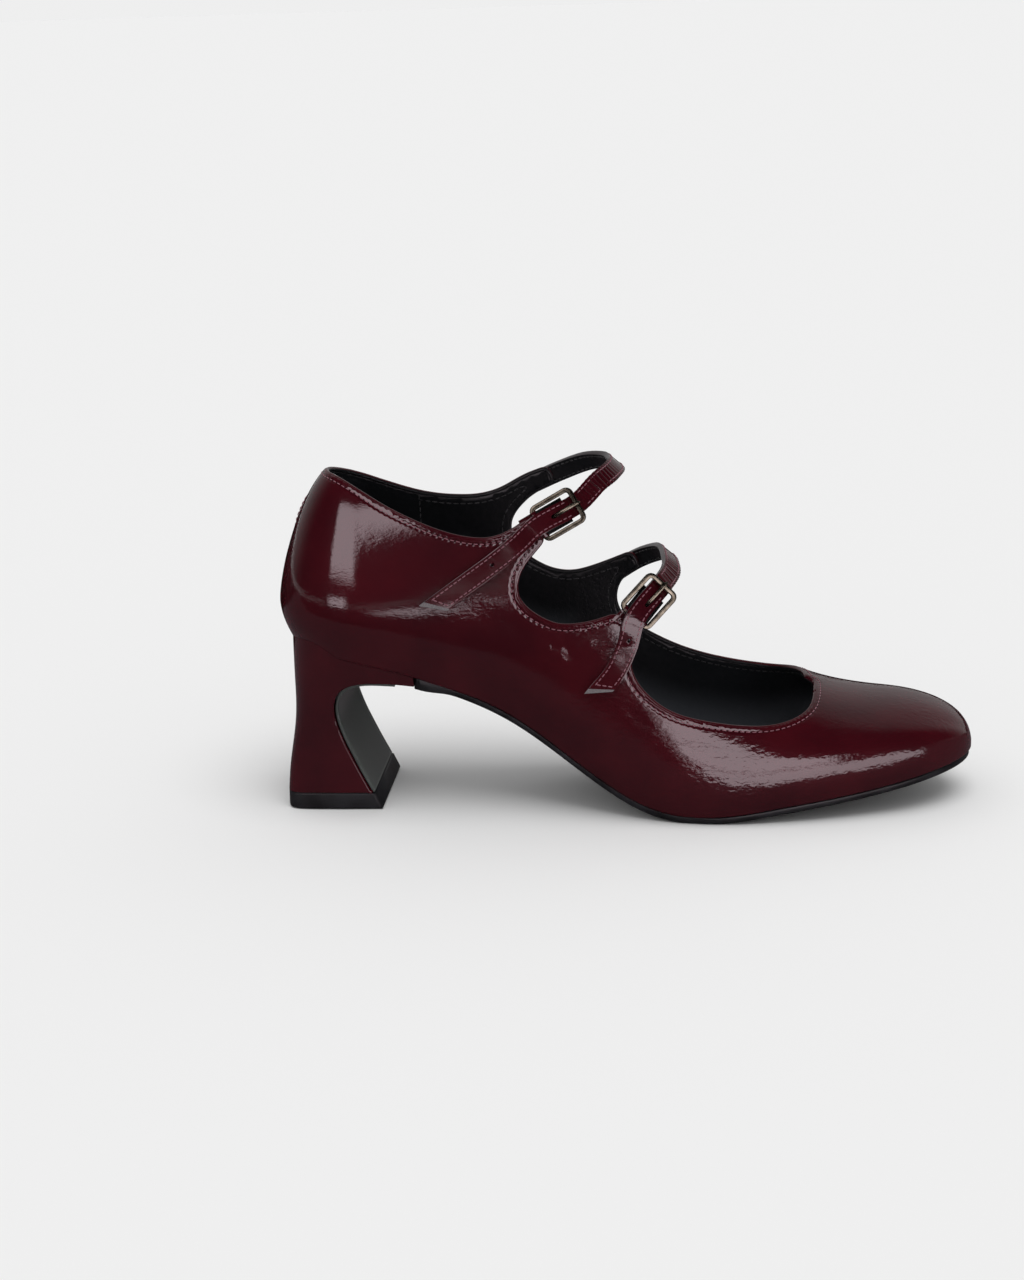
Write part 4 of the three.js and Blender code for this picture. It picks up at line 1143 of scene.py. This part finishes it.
# ---- Top piece: the black rubber lift that wears on the ground ----
# Injection-moulded polyurethane rubber 6 mm thick, pinned under the heel. Its sides are
# ground flush with the wrap, and its front slants out to the tread.

TOP_PIECE = 6.0
FRONT_BELOW = 34.8               # station that the front slants to, 1 mm under the tread
FRONT_ABOVE = 31.7               # and its station at the piece's upper face
SPREAD, SPREAD_BACK = 0.2, 0.1   # how far the tread stands out at each side and at the back


def top_piece_ring(z, inset):
    """Outline of the piece at one height; inset rounds its edges."""
    share = z / TOP_PIECE
    front = FRONT_BELOW - (z + 1) * (FRONT_BELOW - FRONT_ABOVE) / (TOP_PIECE + 1) - inset
    outline = heel_outline(HEEL_FOOT, heel_angles, 10, inset, front)
    outline[:, 1] *= 1 + (1 - share) * SPREAD / heel_half(HEEL_FOOT)
    outline[:, 0] = outline[:, 0] - (1 - share) * SPREAD_BACK * (outline[:, 0] < 10)
    return np.column_stack([outline, np.full(len(outline), z)])


ring_levels = [(0, 0.7), (0.12, 0.35), (0.4, 0.08), (0.8, 0.0), (3.0, 0.0), (5.4, 0.0), (5.75, 0.06),
               (5.95, 0.25), (6.0, 0.5)]
rings = np.array([top_piece_ring(z, inset) for z, inset in ring_levels])
sides = rings.shape[1]
top_faces = ring_faces(len(rings), sides)
top_faces += [tuple(range(sides)), tuple((len(rings) - 1) * sides + j for j in range(sides))[::-1]]
lift_rubber = black_rubber("black_polyurethane_lift", "#26262a", 0.5)
top_piece = make_piece("top_piece_lift", rings.reshape(-1, 3), [face[::-1] for face in top_faces],
                       [lift_rubber])
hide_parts("heel_top_piece")

# ---- Straps: two narrow straps of the same patent, lined in black ----
# Each is 7.2 mm wide and 1.8 mm thick, sewn near both edges, fixed outside the inner tab, and
# threaded through its buckle. The tail's end is cut on a slant and left raw.

STRAP_WIDTH, STRAP_THICKNESS = 7.2, 1.8
TAIL_SKEW, TAIL_RUN = 7.0, 10.0  # slant of the tail's end, and the length that it fades over
BAR, BUCKLE_LENGTH, BUCKLE_WIDTH, BUCKLE_CORNER, PRONG, GAP = 1.8, 16.8, 13.8, 2.6, 0.8, 0.3
BAR_SPACING = BUCKLE_LENGTH - BAR
THREADED = BAR / 2 + 3.5 * GAP + STRAP_THICKNESS / 2
PRONG_SLOT = (5.0, 7.8, 1.5)     # along the strap from the rear bar, from and to, and its width
HOLE_RADIUS = 0.6
RAW_BAND = 1.9
STRAP_SEAM, STRAP_PITCH, STRAP_THREAD, END_SEAM = 2.55, 1.9, 0.23, 3.2
RIB_HEIGHT, RIB_PITCH, RIB_REACH = 0.30, 1.9, 3.9
ALONG, ASIDE = 6, 7              # columns of a strap's table after the point and the outward way
# Rows of station, turn, lift and level; rear and ahead are station, turn and lift.
STRAPS = {
    "upper": {
        "tail": [(56.4, .366, 1.3, 0), (66, .424, 1.3, 0), (77.3, .480, 1.3, 0), (86, .526, 1.9, 0)],
        "rear": (93.8, .575, 1.2), "ahead": (106, .656, 3.6),
        "arch": [(112.8, .775, 1.6, .20), (116.4, .885, 1.9, .40), (117.6, 1.0, 1.9, .45),
                 (115.6, 1.13, 1.6, .35), (108, 1.275, .9, .15), (98, 1.362, 1.3, 0), (85.5, 1.418, 1.3, 0)],
        "holes": [-22.0],
    },
    "lower": {
        "tail": [(114, .340, 1.3, 0), (119.8, .413, 1.3, 0), (123.6, .480, 1.9, 0)],
        "rear": (126, .555, 1.4), "ahead": (132.7, .680, 5.0),
        "arch": [(138, .870, .8, .30), (138.2, 1.0, -.2, .45), (136.4, 1.14, -.1, .35),
                 (132, 1.295, .4, .15), (125, 1.41, 1.3, 0), (115.5, 1.508, 1.3, 0)],
        "holes": [-8.5],
    },
}


def turn_normal(station, turn):
    along = last_point(station + 1, turn) - last_point(station - 1, turn)
    around = last_point(station, turn + 0.01) - last_point(station, turn - 0.01)
    return -unit(np.cross(around, along))


def raised(station, turn, lift):
    return last_point(station, turn) + lift * turn_normal(station, turn)


def buckle_frame(strap):
    """Middle of the rear bar, and the ways along the strap, across it and away from the foot."""
    (s0, t0, l0), (s1, t1, l1) = strap["rear"], strap["ahead"]
    origin = raised(s0, t0, l0)
    along = unit(raised(s1, t1, l1) - origin)
    away = turn_normal((s0 + s1) / 2, (t0 + t1) / 2)
    away = unit(away - (away @ along) * along)
    return origin, along, np.cross(away, along), away


def centripetal_line(points, steps):
    """Smooth line through points, without loops where they lie close."""
    points = np.asarray(points, float)
    last = len(points) - 1
    out = []
    for t in np.linspace(0, last, steps + 1):
        i = min(int(t), last - 1)
        w = t - i
        p1, p2 = points[i], points[i + 1]
        p0 = points[i - 1] if i > 0 else 2 * p1 - p2
        p3 = points[i + 2] if i + 2 <= last else 2 * p2 - p1
        spans = ((p0, p1), (p1, p2), (p2, p3))
        d0, d1, d2 = [max(np.linalg.norm(b - a) ** 0.5, 1e-4) for a, b in spans]
        m1 = ((p1 - p0) / d0 - (p2 - p0) / (d0 + d1) + (p2 - p1) / d1) * d1
        m2 = ((p2 - p1) / d1 - (p3 - p1) / (d1 + d2) + (p3 - p2) / d2) * d1
        out.append(between(p1, p2, m1, m2, w))
    return np.array(out)


def strap_core(strap):
    """Middle line of a strap with its outward, across and running ways, every 0.55 mm, and each
    point's distance along it from the rear bar."""
    origin, along, _, away = buckle_frame(strap)
    tail, arch = [[(raised(station, turn, lift), turn_normal(station, turn) + np.array([0, 0, level]))
                   for station, turn, lift, level in strap[part]] for part in ("tail", "arch")]
    # The strap goes over the rear bar and under the front bar.
    through = [(origin + THREADED * away, away), (origin + BAR_SPACING * along - THREADED * away, away)]
    ats, outs = zip(*tail, *through, *arch)
    line = np.hstack([centripetal_line(ats, 520), centripetal_line(outs, 520)])
    line, places = even_line(line, 0.55)
    at = line[:, POINT]
    run = unit(np.gradient(at, axis=0))
    out = line[:, NORMAL]
    out = unit(out - np.sum(out * run, 1, keepdims=True) * run)
    rear = int(np.argmin(np.linalg.norm(at - origin, axis=1)))
    return at, out, np.cross(out, run), run, (places[:len(at)] - places[rear])


# Edge paint: thick acrylic wiped on the cut edge, dark and a little uneven.
edge_paint, tree, shader = new_finish("black_edge_paint", {
    "Base Color": linear("#3a3235"), "Roughness": 0.3, "Coat Weight": 0.6, "Coat Roughness": 0.12})
place = add_node(tree, "TexCoord", {})
runs = add_node(tree, "TexNoise", {"Vector": place.outputs["Object"], "Scale": 700.0, "Detail": 2.0})
relief = add_node(tree, "Bump", {"Height": runs.outputs[0], "Distance": 0.06 * MM, "Strength": 0.6})
tree.links.new(relief.outputs[0], shader.inputs["Normal"])
strap_patent = patent_leather("burgundy_strap_patent", size=0.6, strength=0.45)
# Raw cut leather: grey fibres in tufts about 0.4 mm wide, quite matt.
raw_leather, tree, shader = new_finish("raw_grey_leather", {"Roughness": 0.8})
place = add_node(tree, "TexCoord", {})
fibres = add_node(tree, "TexNoise", {"Vector": place.outputs["Object"], "Scale": 2500.0, "Detail": 4.0})
tone = add_node(tree, "ValToRGB", {0: fibres.outputs[0]})
tone.color_ramp.elements[0].color = linear("#3c3638")
tone.color_ramp.elements[1].color = linear("#8a8386")
tree.links.new(tone.outputs[0], shader.inputs["Base Color"])

for which, strap in STRAPS.items():
    at, out, across, run, place_along = strap_core(strap)
    cross_steps = np.linspace(-STRAP_WIDTH / 2, STRAP_WIDTH / 2, 19)
    origin, along, bar_across, away = buckle_frame(strap)
    # Worn straps buckle into close ribs between the buckle and the top of the instep.
    rib_start, rib_end = BAR_SPACING - 2, BAR_SPACING + 26
    swell = np.sin(np.clip((place_along - rib_start) / (rib_end - rib_start), 0, 1) * np.pi)
    ribs = RIB_HEIGHT * swell * np.sin(place_along * 2 * np.pi / RIB_PITCH)
    rows = []
    for i in range(len(at)):
        from_start = place_along[i] - place_along[0]
        slant = np.clip(1 - from_start / TAIL_RUN, 0, 1) * TAIL_SKEW
        for w in cross_steps:
            shift = -(w / (STRAP_WIDTH / 2)) * slant / 2
            rib = ribs[i] * (1 - (w / RIB_REACH) ** 4)
            point = at[i] + w * across[i] + rib * out[i] + shift * run[i]
            rows.append([*point, *out[i], place_along[i], w])
    rows = np.array(rows)
    strap_faces = grid_faces(len(at), len(cross_steps))
    local = rows[:, POINT] - origin
    slot_from, slot_to, slot_width = PRONG_SLOT
    in_along, in_across, in_away = local @ along, local @ bar_across, local @ away
    middle, half = (slot_from + slot_to) / 2, (slot_to - slot_from) / 2 - slot_width / 2
    slot_gap = np.hypot(np.maximum(np.abs(in_along - middle) - half, 0), in_across) - slot_width / 2
    slot_gap = np.where(np.abs(in_away) < 6, slot_gap, 9.0)
    hole_gap = np.full(len(rows), 9.0)
    for hole in strap["holes"]:
        # The punched holes are oval, a little longer along the strap.
        off_hole = np.hypot((rows[:, ALONG] - hole) * 0.7, rows[:, ASIDE])
        hole_gap = np.minimum(hole_gap, off_hole - HOLE_RADIUS)
    strap_table, strap_faces, _ = trim(rows, strap_faces, np.minimum(slot_gap, hole_gap))
    # The tail's last millimetres are skived bare of lacquer.
    bare = [3 * int(strap_table[list(face), ALONG].mean() - place_along[0] < RAW_BAND)
            for face in strap_faces]
    piece = make_piece(f"strap_{which}_leather", strap_table, strap_faces,
                       [strap_patent, black_pigskin, edge_paint, raw_leather], face_finish=bare)
    thicken(piece, STRAP_THICKNESS, 0.0, rim_finish=2, back_finish=1)
    eased = piece.modifiers.new("eased_edges", "BEVEL")
    eased.width, eased.segments = 0.28 * MM, 2
    eased.limit_method, eased.angle_limit = "ANGLE", math.radians(60)
    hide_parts(f"strap_{which}")

    seam_parts, seam_threads = [], []
    face_height = STRAP_THICKNESS / 2 + 0.04
    for w in (-STRAP_SEAM, STRAP_SEAM):
        # Each row stops 3 mm short of the tail's slanted end.
        row_end = place_along[0] + 3 - 3 * w / (STRAP_WIDTH / 2)
        far = (place_along > row_end) & (place_along < BAR_SPACING - 3.4)
        near = place_along > BAR_SPACING + 2.4
        for chosen, lift_out in ((far, 1), (near, 1), (near, -1)):
            line = (at + w * across + lift_out * face_height * out)[chosen]
            line = line + (ribs[chosen] * (1 - (w / RIB_REACH) ** 4))[:, None] * out[chosen]
            seam_parts.append(stitches(line, lift_out * out[chosen], STRAP_PITCH, STRAP_THREAD))
            seam_threads += [int(lift_out < 0)] * len(seam_parts[-1][1])
    # A short row runs beside the slanted end.
    cut = int(np.argmin(np.abs(place_along - place_along[0] - END_SEAM)))
    slope = (1 - END_SEAM / TAIL_RUN) * TAIL_SKEW / STRAP_WIDTH
    end_row = np.array([at[cut] + w * (across[cut] - slope * run[cut]) + face_height * out[cut]
                        for w in np.linspace(-STRAP_SEAM, STRAP_SEAM, 9)])
    seam_parts.append(stitches(end_row, np.tile(out[cut], (9, 1)), STRAP_PITCH, STRAP_THREAD))
    seam_threads += [0] * len(seam_parts[-1][1])
    seams = make_piece(f"strap_{which}_stitches", *joined(seam_parts), [thread_painted_highlight, black_thread],
                       face_finish=seam_threads)

# ---- Buckles: cast zinc frames in gunmetal plate, with a steel prong ----
# Each frame is one square bar bent to a rounded rectangle and tumbled smooth. Its rear bar lies
# in a leather loop of the outer tab, the prong turns on the same bar, and a short black elastic
# lies under the strap.


def gunmetal_plate(name):
    """Zinc plated in black nickel and tumbled: dark warm grey metal, brighter on worn edges."""
    finish, tree, shader = new_finish(name, {"Metallic": 1.0})
    place = add_node(tree, "TexCoord", {})
    wear = add_node(tree, "TexNoise", {"Vector": place.outputs["Object"], "Scale": 420.0, "Detail": 4.0})
    form = add_node(tree, "NewGeometry", {})
    rubbed = add_node(tree, "MapRange", {
        "Value": form.outputs["Pointiness"], "From Min": 0.5, "From Max": 0.6, "To Min": 0.0, "To Max": 0.5})
    mixed = add_node(tree, "Math", {0: wear.outputs[0], 1: rubbed.outputs[0]}, operation="ADD")
    tone = add_node(tree, "ValToRGB", {0: mixed.outputs[0]})
    tone.color_ramp.elements[0].position, tone.color_ramp.elements[1].position = 0.35, 0.95
    tone.color_ramp.elements[0].color = linear("#4c493f")
    tone.color_ramp.elements[1].color = linear("#928d7d")
    gloss = add_node(tree, "MapRange", {"Value": wear.outputs[0], "To Min": 0.16, "To Max": 0.34})
    relief = add_node(tree, "Bump", {"Height": wear.outputs[0], "Distance": 0.04 * MM, "Strength": 0.4})
    tree.links.new(tone.outputs[0], shader.inputs["Base Color"])
    tree.links.new(gloss.outputs[0], shader.inputs["Roughness"])
    tree.links.new(relief.outputs[0], shader.inputs["Normal"])
    return finish


gunmetal = gunmetal_plate("gunmetal_plated_zinc")
HOOK_RADIUS = 1.45
LOOP_RADIUS = 1.28
LOOP_ASIDE = 2.9                 # from the prong to the middle of the tab's loop on each side
ELASTIC_HALF = 4.7
ELASTIC = 0.6
# Black woven elastic: matt, with ribs 0.7 mm apart along the strap.
black_elastic, tree, shader = new_finish("black_woven_elastic", {
    "Base Color": linear("#101010"), "Roughness": 0.7, "Specular IOR Level": 0.2})
place = add_node(tree, "TexCoord", {})
weave = add_node(tree, "TexWave", {"Vector": place.outputs["Object"], "Scale": 450.0}, bands_direction="X")
relief = add_node(tree, "Bump", {"Height": weave.outputs[0], "Distance": 0.15 * MM, "Strength": 0.8})
tree.links.new(relief.outputs[0], shader.inputs["Normal"])


def soft_square(half, corner, steps=3):
    """Section of the frame's bar."""
    ring = []
    for quarter, (a, b) in enumerate(((1, 1), (-1, 1), (-1, -1), (1, -1))):
        for k in range(steps + 1):
            t = (quarter + k / steps) * math.pi / 2
            ring.append((a * (half - corner) + corner * math.cos(t),
                         b * (half - corner) + corner * math.sin(t)))
    return ring


def buckle_path():
    """Centre line of the frame, in (along, across), with evenly spaced points."""
    half, corner = (BUCKLE_WIDTH - BAR) / 2, BUCKLE_CORNER - BAR / 2
    corners = ((BAR_SPACING - corner, half - corner), (corner, half - corner),
               (corner, corner - half), (BAR_SPACING - corner, corner - half))
    path = []
    for quarter, (a, b) in enumerate(corners):
        for k in range(9):
            t = (quarter + k / 8) * math.pi / 2
            path.append((a + corner * math.cos(t), b + corner * math.sin(t)))
    return even_line(path, 0.6, closed=True)[0]


for which, strap in STRAPS.items():
    origin, along, across, away = buckle_frame(strap)
    frame_line = np.array([origin + a * along + b * across for a, b in buckle_path()])
    frame_bar = sweep(frame_line, np.tile(away, (len(frame_line), 1)),
                      soft_square(BAR / 2 - 0.02, 0.4), closed=True)
    frame_piece = make_piece(f"buckle_{which}_frame", *frame_bar, [gunmetal])
    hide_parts(f"buckle_{which}")

    rise = [(PRONG + BAR / 2 + GAP, -0.4), (4.6, 0.2), (8.6, 2.1),
            (BAR_SPACING, BAR / 2 + GAP + PRONG), (BAR_SPACING + 1.6, 1.7)]
    prong_line = centripetal_line(rise, 40)
    points = np.array([origin + a * along + z * away for a, z in prong_line])
    thin = np.clip((len(points) - np.arange(len(points))) / 6.0, 0.45, 1.0)
    table, faces = sweep(points, np.tile(across, (len(points), 1)), oval(PRONG * 0.92, PRONG * 0.8, 12))
    rings = table.reshape(len(points), 12, 3)
    rings = points[:, None, :] + (rings - points[:, None, :]) * thin[:, None, None]
    prong_parts = [(rings.reshape(-1, 3), faces)]
    # The prong's root is rolled round the rear bar.
    hook = np.array([origin + HOOK_RADIUS * (math.cos(t) * along + math.sin(t) * away)
                     for t in np.linspace(-0.35, -5.2, 20)])
    prong_parts.append(sweep(hook, np.tile(across, (len(hook), 1)), oval(0.62, 0.42, 10)))
    prong = make_piece(f"prong_{which}_steel", *joined(prong_parts), [gunmetal])
    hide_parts(f"prong_{which}")

    # Black elastic under the strap lets it give, and nearly fills the frame.
    fall = 2 * THREADED / BAR_SPACING
    under_strap = THREADED - STRAP_THICKNESS / 2 - 0.45
    elastic_rows = np.array([[origin + a * along + w * across + (under_strap - fall * a) * away
                              for w in np.linspace(-ELASTIC_HALF, ELASTIC_HALF, 12)]
                             for a in np.linspace(1.2, 10.6, 14)])
    elastic = make_piece(f"elastic_{which}_gusset", elastic_rows.reshape(-1, 3), grid_faces(14, 12),
                         [black_elastic])
    thicken(elastic, ELASTIC, 0.0)

    # The tab's leather loop: two bands round the rear bar, either side of the prong.
    loop_parts = []
    for side in (-1, 1):
        turns = np.linspace(-2.3, 1.9, 22)
        band = [(LOOP_RADIUS * math.cos(t), LOOP_RADIUS * math.sin(t)) for t in turns]
        band = [(-6.0, -2.3), (-3.2, -1.9)] + band
        line = np.array([origin + a * along + z * away + side * LOOP_ASIDE * across for a, z in band])
        line, _ = even_line(line, 0.4)
        loop_parts.append(sweep(line, np.tile(across, (len(line), 1)), [
            (1.9, 0.3), (-1.9, 0.3), (-2.0, 0.0), (-1.9, -0.3), (1.9, -0.3), (2.0, 0.0)]))
    loops = make_piece(f"tab_{which}_loop", *joined(loop_parts), [strap_patent])
